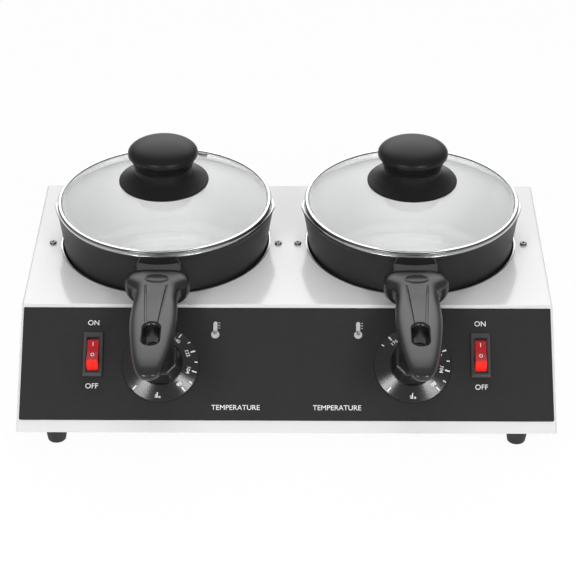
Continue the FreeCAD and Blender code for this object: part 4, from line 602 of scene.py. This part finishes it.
def make_lid_band(side):
    """The polished band: a bowed side with a band of painted dark reflection, a narrow lip on the glass with
    painted shade along its inner edge, and a skirt inside.
    """
    low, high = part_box(side + "_lid_rim")
    seat = (high.z - low.z) / MM - 3.6
    outline = rounded([
        (78.0, 0, 0.2), (78.8, 0, 0.3), (78.8, seat, 0.2), (82.5, seat, 0.4), (83.0, seat + 0.45, 0.4),
        (82.75, seat + 0.95, 0.15), (82.95, seat + 1.5, 0.3), (82.7, seat + 2.7, 0.8),
        (81.9, seat + 3.55, 0.5), (80.3, seat + 3.6, 0.25), (80.1, seat + 3.0, 0.15), (82.1, seat + 2.95, 0),
        (82.3, seat + 2.4, 0), (82.3, seat + 0.6, 0), (78.0, seat + 0.6, 0.2)], closed=True)
    mesh = lathe(millimetres(outline), closed=True, segments=256)
    # Painted reflection and painted shade: faces down the band's side stand for its dark reflection, faces on
    # the lip's inner edge for the shade by the glass; both take the darker steel.
    for face in mesh.polygons:
        radius, z = face.center.xy.length / MM, face.center.z / MM - seat
        painted_reflection_stripe = radius > 81.9 and 1.9 < z < 3.5
        painted_shade_edge = radius < 80.4 and 2.9 < z < 3.55
        face.material_index = int(painted_reflection_stripe or painted_shade_edge)
    place = on_axis(side + "_lid_rim", low.z)
    add_piece(side, "lid_band", mesh, place, [polished, dark_steel_and_painted_reflection], "lid", "lid_rim")


KNOB_EDGE_RADIUS, KNOB_EDGE_HEIGHT = 26.9, 10.1
CROWN_START = -8
CROWN_STEPS = 24
FLANGE_RADIUS = 34.5
FLANGE_BORE = 3.0
FLANGE_RING = 5.1


def make_lid_grip(side):
    """The knob with its undercut side and rounded crown, above the skirt with its upright ring."""
    low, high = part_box(side + "_lid_knob")
    skirt_low, skirt_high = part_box(side + "_lid_knob_skirt")
    height = (high.z - low.z) / MM
    crown = []
    for k in range(CROWN_STEPS):
        angle = math.radians(CROWN_START + (90 - CROWN_START) * k / CROWN_STEPS)
        crown.append((KNOB_EDGE_RADIUS * math.cos(angle),
                      KNOB_EDGE_HEIGHT + (height - KNOB_EDGE_HEIGHT) * math.sin(angle)))
    crown.append((0.0, height))
    flank = smooth_curve([(22.9, 1.5), (23.6, 3.4), (24.7, 5.8), (25.8, 7.8), (26.5, 8.8)], 5)
    outline = rounded([(0, 0, 0), (21.6, 0, 0), (21.6, 0.9, 0), (22.4, 1.0, 0.3)]) + flank + crown
    knob = lathe(millimetres(outline), segments=128)
    place = on_axis(side + "_lid_knob", low.z)
    add_piece(side, "knob_crown", knob, place, [knob_black], "lid", "lid_knob")
    rise = (skirt_high.z - skirt_low.z) / MM
    neck = rise - FLANGE_RING
    under = [(r, dome(r) - dome(FLANGE_RADIUS) + 0.1) for r in (FLANGE_BORE, 10.0, 18.0, 26.0, 33.6)]
    flank = smooth_curve([(34.1, 1.5), (31.0, 3.1), (27.6, 5.2), (24.6, 7.3), (22.6, neck)], 6)
    outline = (under + [(FLANGE_RADIUS - 0.15, 0.3), (FLANGE_RADIUS, 0.6), (FLANGE_RADIUS, 1.1)] + flank
               + [(22.3, neck + 0.35), (22.3, rise - 0.3), (22.0, rise), (FLANGE_BORE, rise)])
    skirt = lathe(millimetres(outline), closed=True)
    place = on_axis(side + "_lid_knob", skirt_low.z)
    add_piece(side, "knob_flange", skirt, place, [knob_black], "lid", "lid_knob_skirt")


# Handles

HANDLE_LENGTH = 126.5
LOWER_POWER = 0.85
# Each station: share of the length, half width, middle's height, rise above it, drop below it, top squareness
HANDLE_STATIONS = (
    (0.000, 19.0, 0.0, 7.2, 9.6, 0.56),
    (0.006, 20.6, 0.0, 8.2, 11.4, 0.56),
    (0.016, 22.1, 0.0, 8.8, 13.6, 0.56),
    (0.040, 23.6, 0.0, 9.2, 16.0, 0.56),
    (0.071, 24.0, 0.0, 9.3, 16.6, 0.57),
    (0.099, 23.8, 0.0, 9.2, 16.4, 0.60),
    (0.126, 21.8, 0.0, 9.0, 15.0, 0.64),
    (0.158, 18.0, 0.0, 8.8, 12.4, 0.68),
    (0.198, 16.0, 0.0, 8.6, 10.4, 0.71),
    (0.277, 15.9, 0.0, 8.3, 9.4, 0.72),
    (0.356, 16.7, 0.0, 8.2, 9.0, 0.72),
    (0.490, 17.2, -0.2, 8.0, 8.8, 0.72),
    (0.632, 16.1, -0.7, 7.6, 8.4, 0.72),
    (0.771, 14.0, -1.4, 6.8, 7.6, 0.72),
    (0.870, 11.8, -2.1, 5.9, 6.6, 0.72),
    (0.933, 9.6, -2.7, 4.8, 5.4, 0.70),
    (0.968, 7.4, -3.1, 3.6, 4.1, 0.70),
    (0.990, 4.9, -3.4, 2.4, 2.6, 0.70),
    (1.000, 1.6, -3.5, 0.7, 0.8, 0.70),
)
HANDLE_CURVE = np.array(smooth_curve(HANDLE_STATIONS, 12)).T
HANDLE_ROWS, HANDLE_AROUND = 300, 240
HANG_HOLE = (71.4, 97.0)
HANG_HOLE_HALF, HANG_RIM_HALF = 5.75, 7.1
GROOVE_START, GROOVE_END = 22.0, 69.8
GROOVE_HALF_START, GROOVE_HALF_END = 7.9, 4.6
DIMPLE_PLACE, DIMPLE_HALF_WIDTH, DIMPLE_HALF_LENGTH, DIMPLE_DEPTH = 14.0, 8.8, 5.6, 2.0
STRIP_DISH = 0.5


def handle_values(share):
    """Half width, middle, rise, drop and top squareness of the handle at a share of its length."""
    return [float(np.interp(share, HANDLE_CURVE[0], values)) for values in HANDLE_CURVE[1:]]


def top_height(share, x):
    """Height of the handle's top above its axis at a share of its length, x off its middle."""
    half, middle, rise, _, power = handle_values(share)
    cosine = min(0.9999, abs(x) / half) ** (1 / power)
    return middle + rise * (1 - cosine ** 2) ** (power / 2)


def signed_power(value, power):
    """A power that keeps the sign."""
    return math.copysign(abs(value) ** power, value)


def strip_half(reach):
    """Half the width between the grooves at a share of their length."""
    return GROOVE_HALF_START + (GROOVE_HALF_END - GROOVE_HALF_START) * reach


def handle_mesh():
    """The moulded grip from the collar at the origin towards -Y, with dimple, grooves and hang hole."""
    sections = []
    for row in range(HANDLE_ROWS + 1):
        share = (1 - math.cos(math.pi * row / HANDLE_ROWS)) / 2
        half, middle, rise, drop, power = handle_values(share)
        y = share * HANDLE_LENGTH
        reach = (y - GROOVE_START) / (GROOVE_END - GROOVE_START)
        strip = strip_half(reach)
        section = []
        for k in range(HANDLE_AROUND):
            angle = 2 * math.pi * k / HANDLE_AROUND
            upper = math.sin(angle) > 0
            squareness = power if upper else LOWER_POWER
            x = half * signed_power(math.cos(angle), squareness)
            z = middle + (rise if upper else drop) * signed_power(math.sin(angle), squareness)
            inside = (x / DIMPLE_HALF_WIDTH) ** 2 + ((y - DIMPLE_PLACE) / DIMPLE_HALF_LENGTH) ** 2
            if upper and inside < 1:
                z -= DIMPLE_DEPTH * (1 - inside) ** 0.75
            if upper and 0 < reach < 1 and abs(x) < strip:
                z -= STRIP_DISH * (1 - (x / strip) ** 2) * min(1.0, reach * 5)
            section.append((x, -y, z))
        sections.append(millimetres(section))
    mesh = loft(sections, 50)
    mesh = cut_away(mesh, groove_cutter(), sharp=50)
    return cut_away(mesh, hang_hole_cutter(), sharp=50)


def groove_cutter():
    """Two narrow bars that follow the handle's top and come together towards the hang hole."""
    bars = []
    steps = 30
    for sign in (-1, 1):
        sections = []
        for k in range(steps + 1):
            t = k / steps
            y = GROOVE_START + (GROOVE_END + 1.5 - GROOVE_START) * t
            x = sign * strip_half(t)
            top = top_height(y / HANDLE_LENGTH, x)
            deep = 2.2 * min(1.0, 0.1 + t * 5)
            sections.append(millimetres([(x - 1.4, -y, top + 2), (x - 0.7, -y, top - deep),
                                         (x + 0.7, -y, top - deep), (x + 1.4, -y, top + 2)]))
        bars.append(loft(sections))
    return joined(bars)


def stadium(half_width, start, end):
    """A slot outline with round ends from start to end down -Y, as (x, y) points in millimetres."""
    steps = 16
    points = []
    for turn, middle in ((0, -start - half_width), (math.pi, -end + half_width)):
        for k in range(steps + 1):
            angle = turn + math.pi * k / steps
            points.append((half_width * math.cos(angle), middle + half_width * math.sin(angle)))
    return points


def hang_hole_cutter():
    """The hang hole, opened out at the handle's top, where it follows the falling surface."""
    start, end = HANG_HOLE
    top = top_height(start / HANDLE_LENGTH, 0)
    fall = (top - top_height(end / HANDLE_LENGTH, 0)) / (end - start)
    rim = HANG_RIM_HALF - HANG_HOLE_HALF
    rings = []
    for out, level in ((0, -30), (0, -2.2), (rim * 0.3, -1.4), (rim * 0.75, -0.85), (rim, -0.65),
                       (rim + 0.6, 6)):
        rings.append(millimetres((x, y, top + level + (start + y) * fall)
                                 for x, y in stadium(HANG_HOLE_HALF + out, start - out, end + out)))
    return loft(rings)


def rounded_rectangle(width, height, corner):
    """A rounded rectangle round the origin, as (across, up) points in millimetres."""
    steps = 6
    points = []
    for k, (sx, sz) in enumerate(((1, 1), (-1, 1), (-1, -1), (1, -1))):
        for j in range(steps + 1):
            angle = math.pi / 2 * (k + j / steps)
            points.append((sx * (width / 2 - corner) + corner * math.cos(angle),
                           sz * (height / 2 - corner) + corner * math.sin(angle)))
    return points


NECK_WIDTH, NECK_HEIGHT, NECK_LOW_HEIGHT = 33.6, 17.0, 15.6
NECK_STEP = 1.6
NECK_FALL = 3.4
NECK_LIFT = 0.8


def neck_mesh(back, front, radius):
    """The stepped neck: its back follows the pan's round plate, its top falls towards the handle."""
    step = front + NECK_STEP
    # Each row: shrinkage, place along Y, width, height, fall of its top
    rows = ((0.0, None, NECK_WIDTH, NECK_HEIGHT, 0.2),
            (0.0, step + 0.05, NECK_WIDTH - 1.0, NECK_LOW_HEIGHT, NECK_FALL),
            (0.4, step, NECK_WIDTH, NECK_HEIGHT, NECK_FALL),
            (0.0, step - 0.4, NECK_WIDTH, NECK_HEIGHT, NECK_FALL),
            (0.0, front, NECK_WIDTH, NECK_HEIGHT, NECK_FALL))
    sections = []
    for shrink, place, width, height, fall in rows:
        points = []
        for x, z in rounded_rectangle(width - 2 * shrink, height - 2 * shrink, 3.0):
            y = back + radius - math.sqrt(radius ** 2 - x ** 2) if place is None else place
            points.append((x, y, z + NECK_LIFT - fall * max(0.0, z) / (height / 2)))
        sections.append(millimetres(points))
    return loft(sections)


BRACKET_THICKNESS = 1.5
BRACKET_WIDE, BRACKET_NARROW = 16.5, 13.5
BRACKET_SHOULDER = 7.6
BRACKET_FOOT = 2.0
BRACKET_EDGE = 0.5
TONGUE_WIDTH, TONGUE_HEIGHT, TONGUE_START = 18.0, 9.0, 79.0


def bracket_mesh(side, axis_y):
    """The plate bent round the pan's wall, with a painted highlight along its side edges, and the tongue
    inside the handle.
    """
    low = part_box(side + "_handle_bracket")[0]
    pan_low, pan_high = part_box(side + "_pan")
    middle = node_centre(side + "_handle_screw").z / MM
    bottom, top = low.z / MM, pan_high.z / MM - 0.3
    shoulder = middle + BRACKET_SHOULDER

    def plate_half(z):
        rise = max(0.0, z - shoulder) / (top - shoulder)
        return BRACKET_WIDE + (BRACKET_NARROW - BRACKET_WIDE) * rise

    sections = []
    levels = ([bottom + 0.02, bottom + 0.15, bottom + 0.6, bottom + BRACKET_FOOT]
              + list(np.linspace(bottom + 3.0, shoulder, 12)) + list(np.linspace(shoulder + 0.4, top, 8)))
    for z in levels:
        half = plate_half(z)
        if z < bottom + BRACKET_FOOT:
            foot = bottom + BRACKET_FOOT - z
            half -= BRACKET_FOOT - math.sqrt(max(0.0, BRACKET_FOOT ** 2 - foot ** 2))
        wall = pan_radius(z, pan_low.z / MM, pan_high.z / MM)
        inner = max(wall + 0.05, RIM_RADIUS + 0.05 if z > top - 2.6 else 0.0)
        front, back = [], []
        offsets = [-half + d for d in (0.0, 0.12, 0.5)] + list(np.linspace(-half + 1.5, half - 1.5, 15))
        offsets += [half - d for d in (0.5, 0.12, 0.0)]
        for x in offsets:
            edge = min(half - abs(x), z - bottom + 0.3)
            drawn = BRACKET_EDGE * max(0.0, 1 - edge / BRACKET_EDGE) ** 2
            outer = wall + BRACKET_THICKNESS - drawn
            front.append((x, axis_y - math.sqrt(outer ** 2 - x ** 2), z - middle))
            back.append((x, axis_y - math.sqrt(inner ** 2 - x ** 2), z - middle))
        sections.append(millimetres(front + back[::-1]))
    plate = loft(sections)
    end, start = low.y / MM, axis_y - TONGUE_START
    middle_y = (start + end) / 2
    tongue = bevelled_box((TONGUE_WIDTH, start - end, TONGUE_HEIGHT), 0.4, 2, (0, middle_y, 0))
    mesh = joined([plate, tongue], sharp=35)
    # Painted highlight: the faces along the plate's side edges take the lighter neck gloss in the stead of
    # the pan's coating.
    for face in mesh.polygons:
        if abs(face.center.x) / MM > plate_half(face.center.z / MM + middle) - 0.6:
            face.material_index = 1
    return mesh


def make_handle(side, mesh):
    """A handle with its neck and bracket, on the pan's body."""
    screw = node_centre(side + "_handle_screw")
    axis_y = node_centre(side + "_lid_rim").y / MM
    place = Matrix.Translation((screw.x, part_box(side + "_handle")[1].y, screw.z))
    add_piece(side, "grip", mesh, place, [bakelite], "pan", "handle")
    place = Matrix.Translation((screw.x, 0, screw.z))
    pan_low, pan_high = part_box(side + "_pan")
    radius = pan_radius(screw.z / MM, pan_low.z / MM, pan_high.z / MM) + BRACKET_THICKNESS
    neck = neck_mesh(axis_y - radius - 0.1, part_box(side + "_handle_ferrule")[0].y / MM, radius)
    add_piece(side, "neck", neck, place, [neck_gloss_and_painted_edge_highlight], "pan", "handle_ferrule")
    add_piece(side, "pan_bracket", bracket_mesh(side, axis_y), place, [pan_black, neck_gloss_and_painted_edge_highlight],
              "pan", "handle_bracket")


# Dials

DIAL_DOWN = 47.2
DIAL_BASE = 1.6
DIAL_RADIUS, DIAL_TOP_RADIUS = 28.5, 17.0
DIAL_EDGE, DIAL_HEIGHT = 1.0, 4.9
DIAL_BORE = 3.2
KNOB_FLATS = 31.0
KNOB_CORNER_CUT = 8.2
SCALE_WORDS = ("86", "104", "122", "140", "158", "176")
SCALE_START = -48.0
SCALE_STEP = 34.9
MINOR_SHARE = 0.47
SCALE_TURNS = {"left": 0.0, "right": 3.0}
UNIT_ANGLE = -93.0
INDEX_ANGLE = -136.0
TICK_OUTER, TICK_INNER, MINOR_INNER = 27.6, 23.9, 25.2
NUMBER_RADIUS, UNIT_RADIUS = 21.2, 23.6
CONE_TILT = math.atan2(DIAL_HEIGHT - DIAL_EDGE, DIAL_RADIUS - DIAL_TOP_RADIUS)


def cone_place(radius, angle, lift):
    """The matrix of a place on a dial's cone, with Y pointing outwards down the cone."""
    height = DIAL_BASE + DIAL_EDGE + (DIAL_RADIUS - radius) * math.tan(CONE_TILT) + lift
    return (Matrix.Rotation(math.radians(angle - 90), 4, "Z")
            @ Matrix.Translation((0, radius * MM, height * MM)) @ Matrix.Rotation(-CONE_TILT, 4, "X"))


def scale_mesh(turn):
    """The printed ticks, numbers and unit of a dial."""
    meshes, places = [], []

    def tick(width, inner, angle):
        meshes.append(bevelled_box((width, TICK_OUTER - inner, 0.08), 0.01))
        places.append(cone_place((TICK_OUTER + inner) / 2, angle, 0.02))

    def words(text, height, weight, radius, angle):
        meshes.append(text_mesh(text, height, weight))
        places.append(cone_place(radius, angle, 0.04))

    for k, number in enumerate(SCALE_WORDS):
        angle = SCALE_START + turn + k * SCALE_STEP
        tick(1.0, TICK_INNER, angle)
        tick(0.75, MINOR_INNER, angle + SCALE_STEP * MINOR_SHARE)
        words(number, 2.75, 0.05, NUMBER_RADIUS, angle)
    tick(1.1, TICK_INNER, INDEX_ANGLE + turn)
    words("°F", 3.9, 0.06, UNIT_RADIUS, UNIT_ANGLE + turn)
    return joined(meshes, places, 20)


def dial_skirt_mesh():
    """The spun conical ring with a rolled edge and a shallow step round the grip, and the hub inside it."""
    top = DIAL_BASE + DIAL_HEIGHT
    edge = DIAL_BASE + DIAL_EDGE
    outline = rounded([
        (DIAL_RADIUS - 1.2, DIAL_BASE, 0.1), (DIAL_RADIUS, DIAL_BASE, 0.25), (DIAL_RADIUS, edge, 0.5),
        (DIAL_TOP_RADIUS + 0.6, top - 0.2, 0.15), (DIAL_TOP_RADIUS, top, 0.3),
        (DIAL_TOP_RADIUS - 0.9, top, 0.1), (DIAL_TOP_RADIUS - 0.95, top - 1.2, 0),
        (DIAL_RADIUS - 1.3, edge - 0.4, 0)], closed=True)
    ring = lathe(millimetres(outline), closed=True, segments=192)
    rim = DIAL_TOP_RADIUS - 0.7
    hub = [(DIAL_BORE, top - 1.2), (rim, top - 1.2), (rim, top - 0.3), (DIAL_BORE, top - 0.3)]
    return joined([ring, lathe(millimetres(hub), closed=True, segments=96)])


def cut_square(flats, corner, z):
    """A square outline with cut corners, each turn softly rounded, in metres."""
    half = flats / 2
    cut = half - KNOB_CORNER_CUT * flats / KNOB_FLATS
    corners = [(half, -cut), (half, cut), (cut, half), (-cut, half), (-half, cut), (-half, -cut),
               (-cut, -half), (cut, -half)]
    points = []
    for k in range(8):
        for x, y in arc_corner(corners[k - 1], corners[k], corners[(k + 1) % 8], corner, 5):
            points.append((x, y, z))
    return millimetres(points)


def dial_knob_mesh():
    """The cut-cornered grip with a flared foot, tapered flanks and a raised flat cap."""
    low = DIAL_BASE + DIAL_HEIGHT
    # Each row: height, width across the flats, corner radius
    rows = ((0.0, KNOB_FLATS, 1.6), (0.5, 30.9, 1.6), (1.0, 30.2, 1.5), (12.9, 27.0, 1.5), (14.2, 26.6, 1.6),
            (15.0, 25.8, 1.8), (15.35, 24.8, 2.0), (15.5, 23.4, 2.2), (15.5, 20.6, 2.0), (15.1, 20.0, 2.0),
            (15.1, 2.0, 0.2))
    return loft([cut_square(flats, corner, low + height) for height, flats, corner in rows], 30)


def make_dial(side):
    """A dial: spun scale ring, printed scale and grip."""
    place = on_slope(node_centre(side + "_dial_skirt").x / MM, DIAL_DOWN)
    add_piece(side, "scale_ring", dial_skirt_mesh(), place, [dial_metal], "dial", "dial_skirt")
    add_piece(side, "scale_print", scale_mesh(SCALE_TURNS[side]), place, [print_white], "dial")
    add_piece(side, "dial_grip", dial_knob_mesh(), place, [bakelite], "dial", "dial_knob")


# Switches

SWITCH_DOWN = 39.5
BEZEL_WIDTH, BEZEL_LENGTH = 14.8, 34.0
SLOT_WIDTH, SLOT_LENGTH = 9.0, 26.6
BEZEL_BASE, BEZEL_FACE = 0.8, 2.8
SLOT_FLOOR = -8.0
HOUSING_WIDTH, HOUSING_LENGTH = 13.0, 30.6
HOUSING_TOP, HOUSING_HEIGHT = -9.5, 5.4
ROCKER_RADIUS = 13.0
ROCKER_HALF = 4.2
ROCKER_PIVOT = -4.2
ROCKER_START, ROCKER_LIP = -0.08, math.radians(49)
ROCKER_TILT = math.radians(15)
LIP_Y, LIP_Z = ROCKER_RADIUS * math.cos(ROCKER_LIP), ROCKER_RADIUS * math.sin(ROCKER_LIP)
DISH_Z = LIP_Z - LIP_Y * math.tan(ROCKER_TILT)
DISH_POWER = 1.25
RIB_PITCH, RIB_DEPTH, RIB_HALF = 1.05, 0.28, 3.75
ROCKER_EDGE, ROCKER_DRAWN = 0.5, 0.4


def bezel_mesh():
    """The switch's frame: a rounded, bevelled collar with a sunk inner lip, and the housing below it."""
    def rings(width, length, rows):
        return [millimetres((x, y, z) for x, y in rounded_rectangle(width + grow, length + grow, corner))
                for grow, corner, z in rows]

    face = BEZEL_FACE
    outside = rings(BEZEL_WIDTH, BEZEL_LENGTH, (
        (0, 0.9, BEZEL_BASE), (0, 0.9, face - 0.75), (-0.25, 0.85, face - 0.3), (-0.9, 0.8, face)))
    inside = rings(SLOT_WIDTH, SLOT_LENGTH, (
        (1.7, 0.6, face), (1.3, 0.5, face - 0.35), (0.5, 0.3, face - 0.4), (0, 0.2, face - 0.9),
        (0, 0.2, SLOT_FLOOR)))
    collar = loft(outside + inside + rings(0.4, 0.4, ((0, 0.1, SLOT_FLOOR),)))
    housing = bevelled_box((HOUSING_WIDTH, HOUSING_LENGTH, HOUSING_HEIGHT), 0.4, 2,
                           (0, 0, HOUSING_TOP - HOUSING_HEIGHT / 2))
    skirt = rings(HOUSING_WIDTH, HOUSING_LENGTH, ((0, 0.5, BEZEL_BASE), (0, 0.5, HOUSING_TOP - 0.1)))
    return joined([collar, housing, loft(skirt)])


def dish_height(y):
    """Height of the rocker's hollow face above its pivot, before it is tilted."""
    return DISH_Z + (LIP_Z - DISH_Z) * (abs(y) / LIP_Y) ** DISH_POWER


def rocker_mesh():
    """The rocker at rest, its upper end pressed in, with a dished face and ribbed end walls."""
    sections = []
    rows, steps, dish = 48, 16, 12
    for row in range(rows + 1):
        x = ROCKER_HALF * (2 * row / rows - 1)
        edge = max(0.0, abs(x) - (ROCKER_HALF - ROCKER_EDGE)) / ROCKER_EDGE
        drawn = ROCKER_DRAWN * (1 - math.sqrt(max(0.0, 1 - edge ** 2)))
        ribbed = 0.5 + 0.5 * math.cos(2 * math.pi * x / RIB_PITCH) if abs(x) < RIB_HALF else 0.0
        arc = []
        for k in range(steps + 1):
            angle = ROCKER_START + (ROCKER_LIP - ROCKER_START) * k / steps
            fade = min(1.0, (steps - k) / 2, k / 2)
            radius = ROCKER_RADIUS - drawn - RIB_DEPTH * (1 - ribbed) * fade
            arc.append((radius * math.cos(angle), radius * math.sin(angle)))
        lip_y, lip_z = arc[-1]
        dish_z = lip_z - lip_y * math.tan(ROCKER_TILT)
        face = [(lip_y * (1 - k / dish), dish_z + (lip_z - dish_z) * abs(1 - k / dish) ** DISH_POWER)
                for k in range(1, 2 * dish)]
        points = arc + face + [(-y, z) for y, z in arc[::-1]]
        cos_tilt, sin_tilt = math.cos(ROCKER_TILT), math.sin(ROCKER_TILT)
        sections.append(millimetres((x, y * cos_tilt + z * sin_tilt, z * cos_tilt - y * sin_tilt)
                                    for y, z in points))
    return loft(sections, 55)


def rocker_print(y):
    """The matrix of a mark on the rocker's dished face, at a distance above its pivot line."""
    slope = math.copysign(DISH_POWER * (LIP_Z - DISH_Z) / LIP_Y * (abs(y) / LIP_Y) ** (DISH_POWER - 1), y)
    return (Matrix.Rotation(-ROCKER_TILT, 4, "X")
            @ Matrix.Translation((0, y * MM, (dish_height(y) + PRINT_THICKNESS) * MM))
            @ Matrix.Rotation(math.atan(slope), 4, "X"))


def make_switch(side):
    """A switch: frame with housing on the base, lit rocker with its two marks on its own body."""
    x = node_centre(side + "_rocker").x / MM
    add_piece(side, "switch_frame", bezel_mesh(), on_slope(x, SWITCH_DOWN), [switch_plastic],
              "base", "switch_housing")
    pivot = on_slope(x, SWITCH_DOWN, ROCKER_PIVOT)
    add_piece(side, "rocker_key", rocker_mesh(), pivot, [rocker_red], "rocker", "rocker")
    line = bevelled_box((0.45, 2.9, PRINT_THICKNESS), 0.01)
    ring = lathe(millimetres([(1.0, 0), (1.5, 0), (1.5, PRINT_THICKNESS), (1.0, PRINT_THICKNESS)]),
                 closed=True, segments=40)
    ring.transform(Matrix.Diagonal((0.9, 1.15, 1, 1)))
    marks = joined([line, ring], [rocker_print(5.6), rocker_print(-3.2)])
    add_piece(side, "rocker_marks", marks, pivot, [print_white], "rocker")


# Printed panel

PRINT_GAP = 0.03
# Each word: distance from the middle, distance down the slope, height of its capitals
WORDS = {"on": (143.5, 15.0, 3.9), "off": (143.5, 63.6, 3.9), "temperature": (37.2, 79.6, 3.8)}
THERMOMETER_X, THERMOMETER_DOWN, THERMOMETER_LENGTH = 53.0, 23.6, 10.0


def thermometer_mesh():
    """The small thermometer mark: a bulb, a stem and three strokes beside it."""
    top = PRINT_THICKNESS
    bulb = lathe(millimetres([(0, 0), (3.0, 0), (3.0, top), (0, top)]), segments=48)
    stem = loft([millimetres((x, y, level) for x, y in stadium(1.5, -THERMOMETER_LENGTH, 0.5))
                         for level in (0.0, top)])
    strokes = [bevelled_box((1.3, 0.5, top), 0.01, 1, (2.8, y, top / 2)) for y in (5.0, 7.0, 9.0)]
    return joined([bulb, stem] + strokes, sharp=20)


def make_panel_print():
    """The words and marks on the panel."""
    for side, sign in SIDES:
        for word, (x, down, height) in WORDS.items():
            place = on_slope(sign * x, down, PANEL_THICKNESS + PRINT_GAP)
            mesh = text_mesh(word.upper(), height)
            add_piece(side, "print_" + word, mesh, place, [print_white], "base")
        place = on_slope(sign * THERMOMETER_X, THERMOMETER_DOWN, PANEL_THICKNESS)
        add_piece(side, "print_thermometer", thermometer_mesh(), place, [print_grey], "base")


# The nodes that are shown as they were packed, where those not named here are bare steel
NODE_FINISHES = {
    "casing": enamel, "control_panel": panel_black, "rubber_feet": rubber, "heater_discs": heater_alloy,
    "insulation_pads": insulation, "power_inlet": inlet_plastic, "inlet_pins": brass,
    "terminal_block": nylon, "switch_terminals": brass, "capillary_bulbs": copper, "wiring_live": lead_brown,
    "wiring_neutral": lead_blue, "wiring_earth": lead_green, "left_well": well_metal,
    "right_well": well_metal, "well_screws": dark_steel_and_painted_reflection,
}


def make_object():
    """Every visible piece of the melting pot."""
    for name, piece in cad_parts.items():
        piece.data.materials.clear()
        piece.data.materials.append(NODE_FINISHES.get(name, zinc))
    grip = handle_mesh()
    for side, _ in SIDES:
        make_pan(side)
        make_lid_glass(side)
        make_lid_band(side)
        make_lid_grip(side)
        make_handle(side, grip.copy())
        make_dial(side)
        make_switch(side)
    make_panel_print()


# Floor, light and camera

FLOOR_GLOW = 0.95
FLOOR_REACH = 6.0
GLOSS_SHARE = 0.15
WORLD_DIM, WORLD_BRIGHT = 0.24, 2.4
BRIGHT_WAY = (0.0, 0.8, 0.6)
BRIGHT_START, BRIGHT_FULL = 0.79, 0.98
CAMERA_LENS = 131.25
CAMERA_SENSOR = 36.0
CAMERA_PLACE = (15.38, -1321.3, 902.9)
CAMERA_PITCH, CAMERA_YAW, CAMERA_ROLL = 0.558, 0.011, -0.003
LAMP_TARGET = (0, 0, 0.05)
# Each lamp: name, place, size and power, and whether gloss shows it
LAMPS = (
    ("front_left", (-0.66, -1.15, 0.9), (0.36, 0.36), 6.5, True),
    ("front_right", (0.66, -1.15, 0.9), (0.36, 0.36), 6.5, True),
    ("front_fill", (0, -1.8, 0.7), (1.6, 0.8), 10, False),
    ("overhead", (0, 0, 2.0), (1.2, 1.2), 7, False),
)


def seen_share(tree, gloss):
    """1 where the camera or glass looks straight at a surface, and a share of it where gloss mirrors it."""
    path = tree.nodes.new("ShaderNodeLightPath").outputs
    seen = calculated(tree, "MAXIMUM", path["Is Camera Ray"], path["Is Transmission Ray"])
    mirrored = calculated(tree, "MULTIPLY", path["Is Glossy Ray"], gloss)
    return calculated(tree, "MAXIMUM", seen, mirrored)


def mixed(tree, share, below, above, output):
    """Send a mix of two shaders to the output."""
    mix = tree.nodes.new("ShaderNodeMixShader")
    wire(share, mix.inputs["Fac"])
    wire(below, mix.inputs[1])
    wire(above, mix.inputs[2])
    wire(mix.outputs["Shader"], tree.nodes[output].inputs["Surface"])


def make_floor():
    """A pale floor that shows white to the camera and keeps the object's shadow."""
    material, tree, shader = new_material("floor")
    set_sockets(shader, Base_Color=(0.9, 0.9, 0.9, 1), Roughness=0.9, Specular_IOR_Level=0.0)
    glow = add_node(tree, "ShaderNodeEmission", Color=(1, 1, 1, 1), Strength=1.0)
    share = calculated(tree, "MULTIPLY", seen_share(tree, 1.0), FLOOR_GLOW)
    mixed(tree, share, shader.outputs["BSDF"], glow.outputs["Emission"], "Material Output")
    mesh = bpy.data.meshes.new("floor")
    corners = [(x * FLOOR_REACH, y * FLOOR_REACH, cad_low.z) for x, y in ((-1, -1), (1, -1), (1, 1), (-1, 1))]
    mesh.from_pydata(corners, [], [(0, 1, 2, 3)])
    mesh.materials.append(material)
    link("floor", mesh)


def make_world():
    """A dim studio with a bright patch up behind, which shows white to the camera and glass."""
    world = bpy.data.worlds.new("studio")
    scene.world = world
    world.use_nodes = True
    tree = world.node_tree
    soft = tree.nodes["Background"]
    soft.inputs["Color"].default_value = (1, 1, 1, 1)
    way = add_node(tree, "ShaderNodeVectorMath", operation="DOT_PRODUCT")
    wire(tree.nodes.new("ShaderNodeTexCoord").outputs["Generated"], way.inputs[0])
    way.inputs[1].default_value = BRIGHT_WAY
    wire(spread(tree, way.outputs["Value"], WORLD_DIM, WORLD_BRIGHT, BRIGHT_START, BRIGHT_FULL,
                          interpolation_type="SMOOTHSTEP"), soft.inputs["Strength"])
    white = add_node(tree, "ShaderNodeBackground", Color=(1, 1, 1, 1), Strength=1.0)
    share = seen_share(tree, GLOSS_SHARE)
    mixed(tree, share, soft.outputs["Background"], white.outputs["Background"], "World Output")


def make_lamp(name, place, size, power, mirrored):
    """A soft lamp aimed at the object, which gloss may show or not."""
    lamp = bpy.data.lights.new(name, "AREA")
    lamp.shape = "RECTANGLE"
    lamp.size, lamp.size_y = size
    lamp.energy = power
    turn = (Vector(LAMP_TARGET) - Vector(place)).to_track_quat("-Z", "Y").to_matrix().to_4x4()
    link(name, lamp, Matrix.Translation(place) @ turn).visible_glossy = mirrored


def make_camera():
    """The photograph's viewpoint, measured from the fold and the body's bottom edge."""
    data = bpy.data.cameras.new("camera")
    data.lens = CAMERA_LENS
    data.sensor_width = CAMERA_SENSOR
    upright = math.pi / 2 - CAMERA_PITCH
    turn = (Matrix.Rotation(CAMERA_YAW, 4, "Z") @ Matrix.Rotation(upright, 4, "X")
            @ Matrix.Rotation(CAMERA_ROLL, 4, "Z"))
    foot = Vector((0, FOLD.y, casing_low.z))
    scene.camera = link("camera", data, Matrix.Translation(foot + Vector(CAMERA_PLACE) * MM) @ turn)


make_object()
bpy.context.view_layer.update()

scene.view_settings.view_transform = "Standard"
make_floor()
make_world()
for lamp_values in LAMPS:
    make_lamp(*lamp_values)
make_camera()
